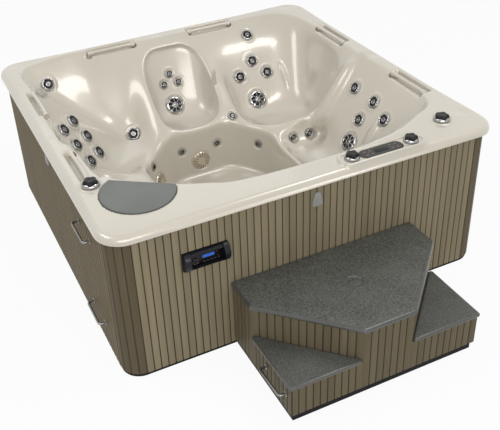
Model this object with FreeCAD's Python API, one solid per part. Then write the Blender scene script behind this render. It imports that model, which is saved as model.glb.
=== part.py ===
import FreeCAD, Part
import math
import os

os.makedirs("parts", exist_ok=True)

# Square hot tub with an equipment step against its front face.
# Millimetres. X to the right along the front face, Y to the back, Z up.
# The origin is on the floor under the centre of the tub.

# Overall sizes
WIDTH = 2360.0
DEPTH = 2360.0
RIM_TOP = 940.0
SKIRT_DROP = 46.0
LIP_HEIGHT = 12.0
LIP_STEP = 18.0
SKIRT_WALL = 10.0
RIM_THICKNESS = 28.0
RIM_CORNER = 145.0
RIM_ROLL = 30.0
LIP_ROLL = 8.0
SHELL_WALL = 12.0

# Rim widths from the skirt lip to the opening
RIM_FRONT = 190.0
RIM_RIGHT = 115.0
RIM_BACK = 115.0
RIM_LEFT = 135.0
OPENING_RADIUS = 150.0
THROAT_DRAFT = 0.15

# Cabinet
PANEL_INSET = 31.0
PANEL_THICKNESS = 16.0
CABINET_CORNER = 114.0
PANEL_TOP_GAP = 2.0
SLAT_PITCH = 41.4
GROOVE_WIDTH = 6.0
GROOVE_DEPTH = 5.0
CORNER_FACETS = 4
BASE_HEIGHT = 22.0
BASE_INSET = 8.0
FRAME_WIDTH = 68.0
FRAME_DEPTH = 30.0
RAIL_DROP = 51.0
STUD_SPREAD = 900.0

# Fits
SEAT_CLEARANCE = 0.3
RUN_CLEARANCE = 0.3
PART_CLEARANCE = 1.0

# Jets: face radius, barrel radius, nozzle radius
JET_SIZES = {
    "large": (65.0, 36.0, 17.0),
    "medium": (44.0, 25.0, 11.0),
    "back": (46.0, 26.0, 12.0),
    "small": (29.0, 15.0, 7.0),
}
JET_SPOT = 2.0
JET_SPOT_MARGIN = 9.0
JET_BOSS = 14.0
JET_BOSS_MARGIN = 15.0
JET_FLANGE = 3.0
JET_FACE_HEIGHT = 9.0
JET_BARREL = 26.0
JET_BODY_WALL = 4.0
JET_BODY_LENGTH = 58.0
JET_SCALLOPS = 6
SUCTION_RADIUS = 66.0
SUCTION_HEIGHT = 16.0
SUCTION_RIBS = 16

# Control pod and knobs
POD_HEIGHT = 12.0
POD_LENGTH = 540.0
POD_WIDTH = 126.0
POD_CENTRE_X = 434.0
POD_SETBACK = 83.0
POD_BEAD = 4.0
POD_BEAD_INSET = 9.0
POD_BEAD_WIDTH = 7.0
PANEL_LENGTH = 272.0
PANEL_WIDTH = 84.0
PANEL_SINK = 6.0
PANEL_HEIGHT = 10.0
KNOB_RADIUS = 43.0
KNOB_HEIGHT = 32.0
KNOB_STEM = 12.0
VALVE_RADIUS = 26.0
VALVE_DEPTH = 44.0
VALVE_FLANGE = 3.0
VALVE_WALL = 5.0

# Filter
LID_RADIUS = 200.0
LID_CHORD = 84.0
LID_THICKNESS = 18.0
LID_SINK = 8.0
WELL_RADIUS = 150.0
WELL_CHORD = 52.0
WELL_WALL = 4.0
WELL_DEPTH = 470.0
MOUTH_WIDTH = 170.0
MOUTH_HEIGHT = 100.0
MOUTH_DROP = 80.0
DUCT_LENGTH = 300.0
CARTRIDGE_RADIUS = 66.0
CARTRIDGE_CAP = 14.0
CARTRIDGE_LENGTH = 330.0
CARTRIDGE_CORE = 24.0
CARTRIDGE_PLEATS = 30
CARTRIDGE_SHIFT = 45.0

# Grab rails
RAIL_RECESS_DEPTH = 38.0
RAIL_RECESS_WIDTH = 54.0
RAIL_LENGTH = 350.0
RAIL_RADIUS = 14.0
RAIL_SETBACK = 15.0
RAIL_CENTRE_DROP = 16.0
RECESS_CORNER = 14.0
DISH_RADIUS = 42.0
DISH_DEPTH = 5.0

# Stereo on the front face
STEREO_X = -653.5
STEREO_Z = 668.0
STEREO_LENGTH = 253.0
STEREO_DEPTH = 46.0
STEREO_CAP = 33.0
DOOR_RADIUS = 51.0
DOOR_WALL = 4.0
DOOR_TAB = 3.5
DOOR_LOW = 45.0
DOOR_HIGH = 135.0
DOOR_RIBS = 7
CHIN_DROP = 34.0
TUB_WALL = 3.0
RADIO_DEPTH = 46.0
RADIO_RISE = 33.0
DIAL_STEM = 5.0
DIAL_RADIUS = 18.0
DIAL_HEIGHT = 6.0

# Cover clips and lift handles
CLIP_WIDTH = 74.0
CLIP_TOP_WIDTH = 34.0
CLIP_HEIGHT = 87.0
CLIP_THICKNESS = 12.0
CLIP_BOTTOM = 760.0
HANDLE_LENGTH = 240.0
HANDLE_BAR = 7.0
HANDLE_REACH = 38.0
HANDLE_FOOT = 16.0

# Step
STEP_LEFT = -515.0
STEP_RIGHT = 610.0
STEP_LENGTH = 642.0
STEP_SIDE = 221.0
STEP_FRONT_LEFT = -105.0
STEP_FRONT_RIGHT = 190.0
STEP_WALL = 16.0
DECK_TOP = 450.0
DECK_THICKNESS = 28.0
TREAD_TOP = 252.0
TREAD_THICKNESS = 22.0
NOSING = 12.0
PLINTH_HEIGHT = 48.0
PLINTH_INSET = 14.0
DECK_DISH_RADIUS = 46.0
DECK_DISH_DEPTH = 6.0
DECK_DISH_X = 51.0
DECK_DISH_SETBACK = 310.0

# Derived places
HALF_X = WIDTH / 2
HALF_Y = DEPTH / 2
SKIRT_BOTTOM = RIM_TOP - SKIRT_DROP
RIM_UNDER = RIM_TOP - RIM_THICKNESS
FACE_X = HALF_X - PANEL_INSET
FACE_Y = HALF_Y - PANEL_INSET
PANEL_TOP = SKIRT_BOTTOM - PANEL_TOP_GAP
OPEN_FRONT = -HALF_Y + RIM_FRONT
OPEN_RIGHT = HALF_X - RIM_RIGHT
OPEN_BACK = HALF_Y - RIM_BACK
OPEN_LEFT = -HALF_X + RIM_LEFT
POD_TOP = RIM_TOP + POD_HEIGHT

# Filter corner: the lid's centre and the direction from it into the tub
LID_CENTRE = (OPEN_LEFT + 175.0, OPEN_FRONT + 170.0)
CORNER_RUN = (OPEN_LEFT, OPEN_FRONT + 397.0)
CORNER_END = (OPEN_LEFT + 552.0, OPEN_FRONT)

# Cups of the shell: each is a pan outline at one height with a draft for each wall
CUPS = {
    "basin": {
        "reference": RIM_TOP,
        "floor": 455.0,
        "points": [
            CORNER_END,
            (OPEN_RIGHT - 325.0, OPEN_FRONT),
            (OPEN_RIGHT, OPEN_FRONT + 260.0),
            (OPEN_RIGHT, OPEN_BACK),
            (OPEN_LEFT, OPEN_BACK),
            CORNER_RUN,
        ],
        "drafts": [0.90, 1.10, 1.10, 1.33, 0.90, 0.75],
        "corner": 60.0,
        "round": 40.0,
    },
    "footwell": {
        "reference": 100.0,
        "floor": 100.0,
        "points": [
            (410.0, -300.0),
            (410.0, 196.0),
            (236.0, 425.0),
            (-215.0, 425.0),
            (-460.0, 180.0),
            (-460.0, -280.0),
            (-320.0, -430.0),
            (270.0, -430.0),
        ],
        "drafts": [0.05, 0.05, 0.06, 0.20, 0.12, 0.20, 0.20, 0.15],
        "corner": 80.0,
        "round": 50.0,
    },
    "middle_seat": {
        "reference": 410.0,
        "floor": 410.0,
        "points": [(205.0, 505.0), (205.0, 770.0), (-245.0, 770.0), (-245.0, 505.0)],
        "drafts": [0.12, 0.55, 0.0, 0.60],
        "corner": 70.0,
        "round": 45.0,
        "crown": 878.0,
        "crown_radius": 170.0,
    },
    "corner_seat": {
        "reference": 410.0,
        "floor": 395.0,
        "points": [
            (550.0, 215.0),
            (800.0, 215.0),
            (890.0, 300.0),
            (890.0, 604.0),
            (330.0, 604.0),
            (330.0, 375.0),
        ],
        "drafts": [0.60, 0.50, 0.30, 0.70, 0.12, 0.50],
        "corner": 100.0,
        "round": 45.0,
    },
    "right_seat": {
        "reference": 360.0,
        "floor": 360.0,
        "points": [(455.0, -620.0), (658.0, -620.0), (658.0, 105.0), (455.0, 105.0)],
        "drafts": [0.30, 0.67, 0.25, 0.40],
        "corner": 60.0,
        "round": 40.0,
    },
    "left_seat": {
        "reference": 410.0,
        "floor": 410.0,
        "points": [
            (-500.0, 220.0),
            (-340.0, 395.0),
            (-390.0, 620.0),
            (-463.0, 650.0),
            (-753.0, 200.0),
            (-620.0, 170.0),
        ],
        "drafts": [0.50, 0.30, 0.60, 0.814, 0.60, 0.50],
        "corner": 40.0,
        "round": 30.0,
    },
    "left_corner": {
        "reference": 430.0,
        "floor": 430.0,
        "points": [(-400.0, 600.0), (-400.0, 750.0), (-640.0, 750.0), (-570.0, 640.0)],
        "drafts": [0.12, 0.50, 0.55, 0.50],
        "corner": 40.0,
        "round": 30.0,
    },
    "left_bench": {
        "reference": 470.0,
        "floor": 460.0,
        "points": [(-880.0, -420.0), (-520.0, -420.0), (-520.0, 120.0), (-880.0, 120.0)],
        "drafts": [0.30, 0.30, 0.30, 0.25],
        "corner": 70.0,
        "round": 40.0,
    },
    "front_seat": {
        "reference": 420.0,
        "floor": 420.0,
        "points": [(-360.0, -800.0), (360.0, -800.0), (360.0, -540.0), (-360.0, -540.0)],
        "drafts": [0.30, 0.20, 0.40, 0.20],
        "corner": 70.0,
        "round": 45.0,
    },
}

# Turning jets: cup, wall, place along the wall, place up the wall, size
TURNING_JETS = {
    "jet_middle_main": ("middle_seat", 1, 10.0, 100.0, "large"),
    "jet_corner_top": ("corner_seat", 3, 7.0, 357.0, "medium"),
    "jet_corner_left": ("corner_seat", 3, 136.0, 262.0, "medium"),
    "jet_corner_right": ("corner_seat", 3, -85.0, 250.0, "medium"),
    "jet_corner_main": ("corner_seat", 3, 50.0, 72.0, "large"),
    "jet_corner_neck": ("basin", 3, -627.0, -147.0, "medium"),
    "jet_corner_side": ("corner_seat", 1, 117.0, 267.0, "medium"),
    "jet_nose": ("basin", 3, -255.0, -752.0, "small"),
    "jet_right_back": ("right_seat", 1, 182.0, 490.0, "medium"),
    "jet_right_top": ("right_seat", 1, -46.0, 485.0, "medium"),
    "jet_right_middle": ("right_seat", 1, -9.0, 334.0, "medium"),
    "jet_right_front": ("right_seat", 1, -210.0, 428.0, "medium"),
    "jet_right_main": ("right_seat", 1, -33.0, 178.0, "large"),
    "jet_left_upper_right": ("left_seat", 3, 56.0, 409.0, "back"),
    "jet_left_middle_right": ("left_seat", 3, 69.0, 277.0, "back"),
    "jet_left_lower_right": ("left_seat", 3, 108.0, 152.0, "back"),
    "jet_left_upper_left": ("left_seat", 3, 206.0, 429.0, "back"),
    "jet_left_middle_left": ("left_seat", 3, 228.0, 306.0, "back"),
    "jet_left_lower_left": ("left_seat", 3, 250.0, 172.0, "back"),
    "jet_left_side": ("left_seat", 2, 0.0, 40.0, "medium"),
    "jet_left_neck": ("left_corner", 1, 372.0, 442.0, "medium"),
}
FIXED_JETS = {
    "middle_top": ("middle_seat", 1, -5.0, 328.0, "small"),
    "middle_left": ("middle_seat", 1, 53.0, 259.0, "small"),
    "middle_right": ("middle_seat", 1, -57.0, 257.0, "small"),
    "calf_left": ("right_seat", 2, -6.0, 44.0, "small"),
    "calf_right": ("right_seat", 2, -133.0, 40.0, "small"),
}
FOOT_JETS = {
    "foot_left": ("footwell", 2, 158.0, 226.0, "small"),
    "foot_right": ("footwell", 2, -112.0, 222.0, "small"),
    "foot_corner": ("footwell", 1, -57.0, 226.0, "small"),
    "foot_side": ("footwell", 3, 49.0, 258.0, "small"),
}
SUCTIONS = {
    "suction_back": ("footwell", 2, 22.0, 123.0),
    "suction_side": ("footwell", 3, 21.0, 122.0),
}

# Moulded fins: cup, wall, place along and up the wall, half width, half length, height
FINS = {
    "corner_fin": ("corner_seat", 3, -212.0, 165.0, 20.0, 140.0, 20.0),
    "arm_fin": ("right_seat", 1, -186.0, 300.0, 42.0, 130.0, 14.0),
}

UP = FreeCAD.Vector(0, 0, 1)
ORIGIN = FreeCAD.Vector(0, 0, 0)


def vec(x, y, z):
    return FreeCAD.Vector(x, y, z)


def polygon_prism(points, bottom, top):
    corners = [vec(x, y, bottom) for x, y in points]
    wire = Part.makePolygon(corners + corners[:1])
    return Part.Face(wire).extrude(vec(0, 0, top - bottom))


def moved_outline(points, shifts):
    """Moves each side of a counter-clockwise outline outwards by its own shift."""
    lines = []
    count = len(points)
    for index in range(count):
        ax, ay = points[index]
        bx, by = points[(index + 1) % count]
        length = math.hypot(bx - ax, by - ay)
        tx, ty = (bx - ax) / length, (by - ay) / length
        nx, ny = ty, -tx
        lines.append((nx, ny, nx * ax + ny * ay + shifts[index]))
    moved = []
    for index in range(count):
        a1, b1, c1 = lines[index - 1]
        a2, b2, c2 = lines[index]
        cross = a1 * b2 - a2 * b1
        moved.append(((c1 * b2 - c2 * b1) / cross, (a1 * c2 - a2 * c1) / cross))
    return moved


def rounded_wire(points, radius, height):
    """A closed outline with every corner rounded by the same radius."""
    count = len(points)
    spans = []
    for index in range(count):
        px, py = points[index - 1]
        cx, cy = points[index]
        qx, qy = points[(index + 1) % count]
        back = math.hypot(px - cx, py - cy)
        ahead = math.hypot(qx - cx, qy - cy)
        ux, uy = (px - cx) / back, (py - cy) / back
        wx, wy = (qx - cx) / ahead, (qy - cy) / ahead
        half = math.acos(max(-1.0, min(1.0, ux * wx + uy * wy))) / 2
        reach = min(radius / math.tan(half), 0.48 * min(back, ahead))
        bow = reach * math.tan(half)
        bx, by = ux + wx, uy + wy
        size = math.hypot(bx, by)
        far = bow / math.sin(half) - bow
        middle = vec(cx + bx / size * far, cy + by / size * far, height)
        start = vec(cx + ux * reach, cy + uy * reach, height)
        end = vec(cx + wx * reach, cy + wy * reach, height)
        spans.append((start, middle, end))
    edges = []
    for index in range(count):
        start, middle, end = spans[index]
        edges.append(Part.Arc(start, middle, end).toShape())
        edges.append(Part.makeLine(end, spans[(index + 1) % count][0]))
    return Part.Wire(edges)


def rounded_prism(points, radius, bottom, top):
    return Part.Face(rounded_wire(points, radius, bottom)).extrude(vec(0, 0, top - bottom))


def rectangle(half_x, half_y):
    return [(-half_x, -half_y), (half_x, -half_y), (half_x, half_y), (-half_x, half_y)]


def edges_at(shape, height):
    """The edges that lie flat at one height."""
    found = []
    for edge in shape.Edges:
        box = edge.BoundBox
        if abs(box.ZMin - height) < 0.01 and abs(box.ZMax - height) < 0.01:
            found.append(edge)
    return found


def revolved(profile):
    """A solid turned about Z from a closed outline of radius and height."""
    corners = [vec(r, 0, z) for r, z in profile]
    face = Part.Face(Part.makePolygon(corners + corners[:1]))
    return face.revolve(ORIGIN, UP, 360)


def cylinder(radius, bottom, top):
    return Part.makeCylinder(radius, top - bottom, vec(0, 0, bottom), UP)


def placed(shape, position, direction):
    copy = shape.copy()
    turn = FreeCAD.Rotation(UP, direction)
    copy.Placement = FreeCAD.Placement(position, turn).multiply(shape.Placement)
    return copy


def crown_prism(cup, grow):
    """The arched front view that ends a seat's back below the rim."""
    rise = cup["crown"] - cup["reference"]
    outline = moved_outline(cup["points"], [grow + d * rise for d in cup["drafts"]])
    left, right = min(x for x, y in outline), max(x for x, y in outline)
    top, bottom = cup["crown"] + grow, cup["floor"] - 2 * cup["crown_radius"] - grow
    corners = [(left, bottom), (right, bottom), (right, top), (left, top)]
    arch = rounded_prism(corners, cup["crown_radius"] + grow, -HALF_Y, HALF_Y)
    arch.rotate(ORIGIN, vec(1, 0, 0), 90.0)
    return arch


def cup_solid(cup, top, grow, rounded):
    """The space of one cup, or that space grown by the wall."""
    base = cup["reference"]
    bottom = cup["floor"] - grow
    drafts = cup["drafts"]
    low = moved_outline(cup["points"], [grow + d * (cup["floor"] - base) for d in drafts])
    high = moved_outline(cup["points"], [grow + d * (top - base) for d in drafts])
    lower = rounded_wire(low, cup["corner"] + grow, bottom)
    upper = rounded_wire(high, cup["corner"] + grow, top)
    solid = Part.makeLoft([lower, upper], True, True)
    if rounded:
        solid = solid.makeFillet(cup["round"], edges_at(solid, bottom))
    if "crown" in cup:
        solid = solid.common(crown_prism(cup, grow))
    return solid


def throat_solid(bottom, top, grow):
    """The space that the rim opening leaves, which bounds every seat."""
    points = CUPS["basin"]["points"]
    low = moved_outline(points, [grow + THROAT_DRAFT * (bottom - RIM_TOP)] * len(points))
    high = moved_outline(points, [grow + THROAT_DRAFT * (top - RIM_TOP)] * len(points))
    lower = rounded_wire(low, OPENING_RADIUS + grow, bottom)
    upper = rounded_wire(high, OPENING_RADIUS + grow, top)
    return Part.makeLoft([lower, upper], True, True)


def wall_place(cup_name, wall, along, rise):
    """A point on a cup's wall and the direction from it into the tub."""
    cup = CUPS[cup_name]
    points = cup["points"]
    ax, ay = points[wall]
    bx, by = points[(wall + 1) % len(points)]
    length = math.hypot(bx - ax, by - ay)
    tx, ty = (bx - ax) / length, (by - ay) / length
    draft = cup["drafts"][wall]
    scale = math.sqrt(1 + draft * draft)
    ux, uy, uz = ty * draft / scale, -tx * draft / scale, 1 / scale
    point = vec(
        (ax + bx) / 2 + tx * along + ux * rise,
        (ay + by) / 2 + ty * along + uy * rise,
        cup["reference"] + uz * rise,
    )
    inward = vec(-ty / scale, tx / scale, draft / scale)
    return point, inward


def fin_solid(cup_name, wall, along, rise, half_width, half_length, height):
    """A long half-sunk oval that stands out from a cup's wall."""
    point, inward = wall_place(cup_name, wall, along, rise)
    above, same = wall_place(cup_name, wall, along, rise + 1.0)
    up = above.sub(point)
    side = up.cross(inward)
    stretch = FreeCAD.Matrix()
    stretch.scale(half_width, half_length, height)
    oval = Part.makeSphere(1.0).transformGeometry(stretch)
    oval.Placement = FreeCAD.Placement(point, FreeCAD.Rotation(side, up, inward, "ZYX"))
    return oval


def slatted_path(points, pitch):
    """An open outline with a groove between slats on each straight stretch, on the outer side."""
    path = []
    for index in range(len(points) - 1):
        ax, ay = points[index]
        bx, by = points[index + 1]
        length = math.hypot(bx - ax, by - ay)
        tx, ty = (bx - ax) / length, (by - ay) / length
        nx, ny = ty, -tx
        count = max(1, round(length / pitch))
        step = length / count
        path.append((ax, ay))
        for number in range(1, count):
            for offset, depth in ((-0.5, 0), (-0.5, 1), (0.5, 1), (0.5, 0)):
                s = number * step + offset * GROOVE_WIDTH
                d = depth * GROOVE_DEPTH
                path.append((ax + tx * s - nx * d, ay + ty * s - ny * d))
    path.append(points[-1])
    return path


def turned(points, quarter):
    """An outline turned by quarter turns about the origin."""
    for _ in range(quarter):
        points = [(-y, x) for x, y in points]
    return points


# Acrylic shell: rim, skirt and the walls of every cup
lip = rounded_prism(rectangle(HALF_X, HALF_Y), RIM_CORNER, SKIRT_BOTTOM, SKIRT_BOTTOM + LIP_HEIGHT)
lip = lip.makeFillet(LIP_ROLL, edges_at(lip, SKIRT_BOTTOM + LIP_HEIGHT))
roll = rounded_prism(
    rectangle(HALF_X - LIP_STEP, HALF_Y - LIP_STEP), RIM_CORNER - LIP_STEP, SKIRT_BOTTOM, RIM_TOP
)
roll = roll.makeFillet(RIM_ROLL, edges_at(roll, RIM_TOP))
skirt_inside = rounded_prism(
    rectangle(HALF_X - LIP_STEP - SKIRT_WALL, HALF_Y - LIP_STEP - SKIRT_WALL),
    RIM_CORNER - LIP_STEP - SKIRT_WALL,
    SKIRT_BOTTOM - PART_CLEARANCE,
    RIM_UNDER,
)
rim = lip.fuse(roll).cut(skirt_inside)

pod_y = -HALF_Y + POD_SETBACK
pod_outline = [
    (POD_CENTRE_X - POD_LENGTH / 2, pod_y - POD_WIDTH / 2),
    (POD_CENTRE_X + POD_LENGTH / 2, pod_y - POD_WIDTH / 2),
    (POD_CENTRE_X + POD_LENGTH / 2, pod_y + POD_WIDTH / 2),
    (POD_CENTRE_X - POD_LENGTH / 2, pod_y + POD_WIDTH / 2),
]
pod = rounded_prism(pod_outline, POD_WIDTH * 0.47, RIM_UNDER, POD_TOP)
pod = pod.makeFillet(POD_HEIGHT * 0.7, edges_at(pod, POD_TOP))
bead_outline = moved_outline(pod_outline, [-POD_BEAD_INSET] * 4)
bead_inside = moved_outline(bead_outline, [-POD_BEAD_WIDTH] * 4)
bead_radius = POD_WIDTH * 0.47 - POD_BEAD_INSET
bead = rounded_prism(bead_outline, bead_radius, POD_TOP - POD_BEAD, POD_TOP + POD_BEAD)
inside_radius = bead_radius - POD_BEAD_WIDTH
bead = bead.cut(rounded_prism(bead_inside, inside_radius, POD_TOP - POD_BEAD, POD_TOP + POD_BEAD))
bead = bead.makeFillet(POD_BEAD_WIDTH * 0.4, edges_at(bead, POD_TOP + POD_BEAD))
panel_x = POD_CENTRE_X - 7.0
panel_y = pod_y - 2.0


def panel_prism(grow, bottom, top):
    half_x, half_y = PANEL_LENGTH / 2 + grow, PANEL_WIDTH / 2 + grow
    corners = [(panel_x + x, panel_y + y) for x, y in rectangle(half_x, half_y)]
    return rounded_prism(corners, PANEL_WIDTH * 0.45 + grow, bottom, top)


throat = throat_solid(60.0, RIM_TOP + 40.0, 0.0)
throat_out = throat_solid(60.0, RIM_UNDER + PART_CLEARANCE, SHELL_WALL)
outer_cups = []
inner_cups = []
for cup_name, cup in CUPS.items():
    if cup_name == "footwell":
        cup_top = CUPS["basin"]["floor"] + 10.0
        outer_cups.append(cup_solid(cup, cup_top, SHELL_WALL, False))
        inner_cups.append(cup_solid(cup, cup_top, 0.0, True))
    else:
        outer_cup = cup_solid(cup, RIM_UNDER + PART_CLEARANCE, SHELL_WALL, False)
        outer_cups.append(outer_cup.common(throat_out))
        inner_cups.append(cup_solid(cup, RIM_TOP + 30.0, 0.0, True).common(throat))

# Rails: centre of each rail along its edge, as edge name and place along it
RAILS = [
    ("back", -380.0),
    ("back", 380.0),
    ("right", 470.0),
    ("right", -455.0),
    ("left", 465.0),
    ("left", -400.0),
]
EDGE_TURNS = {"back": (OPEN_BACK, 0), "left": (-OPEN_LEFT, 1), "right": (OPEN_RIGHT, 3)}


def rail_outline(edge, place, grow):
    """The plan outline of a rail's recess, from inside the opening out into the rim."""
    distance, quarter = EDGE_TURNS[edge]
    if edge == "right":
        place = -place
    inside, outside = distance - 60.0, distance + RAIL_RECESS_WIDTH + grow
    half = RAIL_LENGTH / 2 + grow
    low, high = place - half, place + half
    return turned([(low, inside), (high, inside), (high, outside), (low, outside)], quarter)


rail_cuts = []
rail_bulges = []
rail_bars = []
recess_floor = RIM_TOP - RAIL_RECESS_DEPTH
for edge, place in RAILS:
    cut = rounded_prism(rail_outline(edge, place, 0.0), RECESS_CORNER, recess_floor, RIM_TOP + 20.0)
    rail_cuts.append(cut)
    bulge_outline = rail_outline(edge, place, SHELL_WALL)
    rail_bulges.append(rounded_prism(bulge_outline, RECESS_CORNER, recess_floor - SHELL_WALL, RIM_TOP - 4.0))
    distance, quarter = EDGE_TURNS[edge]
    local = -place if edge == "right" else place
    ends = turned([(local - RAIL_LENGTH / 2, distance + RAIL_SETBACK)], quarter)
    tails = turned([(local + RAIL_LENGTH / 2, distance + RAIL_SETBACK)], quarter)
    start = vec(ends[0][0], ends[0][1], RIM_TOP - RAIL_CENTRE_DROP)
    finish = vec(tails[0][0], tails[0][1], RIM_TOP - RAIL_CENTRE_DROP)
    run = finish.sub(start)
    rail_bars.append(Part.makeCylinder(RAIL_RADIUS, run.Length, start, run))

# Jet seats: a boss behind the wall, a flat spot and a bore in it
jet_places = {}
for group in (TURNING_JETS, FIXED_JETS, FOOT_JETS):
    for jet_name, (cup_name, wall, along, rise, size) in group.items():
        jet_places[jet_name] = wall_place(cup_name, wall, along, rise) + (size,)
bosses = []
seat_cuts = []
for jet_name, (point, inward, size) in jet_places.items():
    face_radius, barrel, nozzle = JET_SIZES[size]
    tube = barrel + RUN_CLEARANCE + JET_BODY_WALL
    boss = cylinder(face_radius + JET_BOSS_MARGIN, -JET_SPOT - JET_BOSS, 0.0)
    bosses.append(placed(boss, point, inward))
    spot = cylinder(face_radius + JET_SPOT_MARGIN, -JET_SPOT, 40.0)
    bore = cylinder(tube, -JET_BODY_LENGTH - PART_CLEARANCE, 0.0)
    seat_cuts.append(placed(spot.fuse(bore), point, inward))
for suction_name, (cup_name, wall, along, rise) in SUCTIONS.items():
    point, inward = wall_place(cup_name, wall, along, rise)
    boss = cylinder(SUCTION_RADIUS + JET_BOSS_MARGIN, -JET_SPOT - JET_BOSS, 0.0)
    bosses.append(placed(boss, point, inward))
    spot = cylinder(SUCTION_RADIUS + JET_SPOT_MARGIN, -JET_SPOT, 40.0)
    seat_cuts.append(placed(spot, point, inward))

KNOBS = {
    "knob_jets": (POD_CENTRE_X - 190.0, pod_y, POD_TOP),
    "knob_waterfall": (POD_CENTRE_X + 188.0, pod_y, POD_TOP),
    "knob_air_right": (OPEN_RIGHT - 134.0, OPEN_FRONT + 22.0, RIM_TOP),
    "knob_air_left": (OPEN_LEFT - 20.0, OPEN_FRONT + 350.0, RIM_TOP),
}
knob_hole = cylinder(VALVE_RADIUS, SKIRT_BOTTOM - 20.0, POD_TOP + 5.0)
knob_holes = [knob_hole.translated(vec(x, y, 0)) for x, y, z in KNOBS.values()]
DISHES = [
    (OPEN_LEFT - 20.0, OPEN_BACK + 45.0),
    (OPEN_RIGHT - 15.0, OPEN_BACK + 50.0),
    (OPEN_RIGHT + 22.0, OPEN_FRONT + 45.0),
    (0.0, OPEN_BACK + 50.0),
    (OPEN_RIGHT + 50.0, 0.0),
    (OPEN_LEFT - 55.0, 10.0),
]
dish_cut = cylinder(DISH_RADIUS, RIM_TOP - DISH_DEPTH, RIM_TOP + 5.0)
dish_cuts = [dish_cut.translated(vec(x, y, 0)) for x, y in DISHES]

# Filter corner
run_x, run_y = CORNER_END[0] - CORNER_RUN[0], CORNER_END[1] - CORNER_RUN[1]
run_length = math.hypot(run_x, run_y)
inward_x, inward_y = -run_y / run_length, run_x / run_length
corner_turn = math.degrees(math.atan2(inward_y, inward_x))


def corner_placed(shape):
    """Places a shape whose own X axis points from the lid's centre into the tub."""
    copy = shape.copy()
    centre = vec(LID_CENTRE[0], LID_CENTRE[1], 0)
    turn = FreeCAD.Rotation(UP, corner_turn)
    copy.Placement = FreeCAD.Placement(centre, turn).multiply(shape.Placement)
    return copy


def chord_disc(radius, chord, bottom, top):
    disc = cylinder(radius, bottom, top)
    keep = Part.makeBox(chord + 2 * radius, 4 * radius, top - bottom, vec(-2 * radius, -2 * radius, bottom))
    return disc.common(keep)


lid_floor = RIM_TOP - LID_SINK
lid_gap = PART_CLEARANCE
lid_seat = corner_placed(chord_disc(LID_RADIUS + lid_gap, LID_CHORD + lid_gap, lid_floor, RIM_TOP + 30.0))
hole_radius, hole_chord = WELL_RADIUS + SEAT_CLEARANCE, WELL_CHORD + SEAT_CLEARANCE
well_hole = corner_placed(chord_disc(hole_radius, hole_chord, RIM_UNDER - 100.0, RIM_TOP))
mouth_top = RIM_UNDER - MOUTH_DROP
mouth_low = mouth_top - MOUTH_HEIGHT
mouth_corner = vec(WELL_CHORD - 20.0, -MOUTH_WIDTH / 2, mouth_low)
mouth = Part.makeBox(DUCT_LENGTH, MOUTH_WIDTH, MOUTH_HEIGHT, mouth_corner)
mouth = corner_placed(mouth)
panel_recess = panel_prism(SEAT_CLEARANCE, POD_TOP - PANEL_SINK, POD_TOP + 20.0)

shell = rim.fuse([pod] + outer_cups + rail_bulges + bosses)
shell = shell.cut(inner_cups + rail_cuts)
shell = shell.fuse([bead] + [fin_solid(*fin) for fin in FINS.values()])
shell = shell.cut(seat_cuts)
shell = shell.cut(knob_holes + dish_cuts + [lid_seat, well_hole, mouth, panel_recess])
shell = max(shell.Solids, key=lambda solid: solid.Volume)
shell.exportStep("parts/acrylic_shell.step")
Part.makeCompound(rail_bars).exportStep("parts/grab_rails.step")

# Jets: a body fixed in each bore, and a scalloped face on it
FACE_BASE = JET_FLANGE - JET_SPOT


def jet_body(size):
    face_radius, barrel, nozzle = JET_SIZES[size]
    bore = barrel + RUN_CLEARANCE
    tube = bore + JET_BODY_WALL - SEAT_CLEARANCE
    end = -JET_BODY_LENGTH
    return revolved(
        [
            (bore, FACE_BASE),
            (face_radius - 2, FACE_BASE),
            (face_radius - 2, -JET_SPOT),
            (tube, -JET_SPOT),
            (tube, end + 10),
            (nozzle, end),
            (0, end),
            (0, end + JET_BODY_WALL + 10),
            (bore, end + JET_BODY_WALL + 10),
        ]
    )


def jet_face(size, lift):
    face_radius, barrel, nozzle = JET_SIZES[size]
    base = FACE_BASE + lift
    top = base + JET_FACE_HEIGHT
    face = revolved(
        [
            (nozzle, base - JET_BARREL),
            (barrel, base - JET_BARREL),
            (barrel, base),
            (face_radius, base),
            (face_radius, base + 0.4 * JET_FACE_HEIGHT),
            (0.94 * face_radius, base + 0.75 * JET_FACE_HEIGHT),
            (0.82 * face_radius, top),
            (0.68 * face_radius, top),
            (0.60 * face_radius, base + 0.45 * JET_FACE_HEIGHT),
            (nozzle + 4, base + 0.3 * JET_FACE_HEIGHT),
            (nozzle, base + 0.1 * JET_FACE_HEIGHT),
        ]
    )
    notch = cylinder(0.30 * face_radius, base - 1, top + 1).translated(vec(1.18 * face_radius, 0, 0))
    notches = []
    for index in range(JET_SCALLOPS):
        copy = notch.copy()
        copy.rotate(ORIGIN, UP, 360.0 * index / JET_SCALLOPS)
        notches.append(copy)
    return face.cut(notches)


bodies = []
faces = {size: jet_face(size, RUN_CLEARANCE) for size in JET_SIZES}
for jet_name in TURNING_JETS:
    point, inward, size = jet_places[jet_name]
    placed(faces[size], point, inward).exportStep("parts/" + jet_name + ".step")
    bodies.append(placed(jet_body(size), point, inward))
minis = []
for jet_name in FIXED_JETS:
    point, inward, size = jet_places[jet_name]
    minis.append(placed(jet_face(size, 0.0), point, inward))
    bodies.append(placed(jet_body(size), point, inward))
Part.makeCompound(minis).exportStep("parts/mini_jets.step")
Part.makeCompound(bodies).exportStep("parts/jet_bodies.step")

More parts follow.
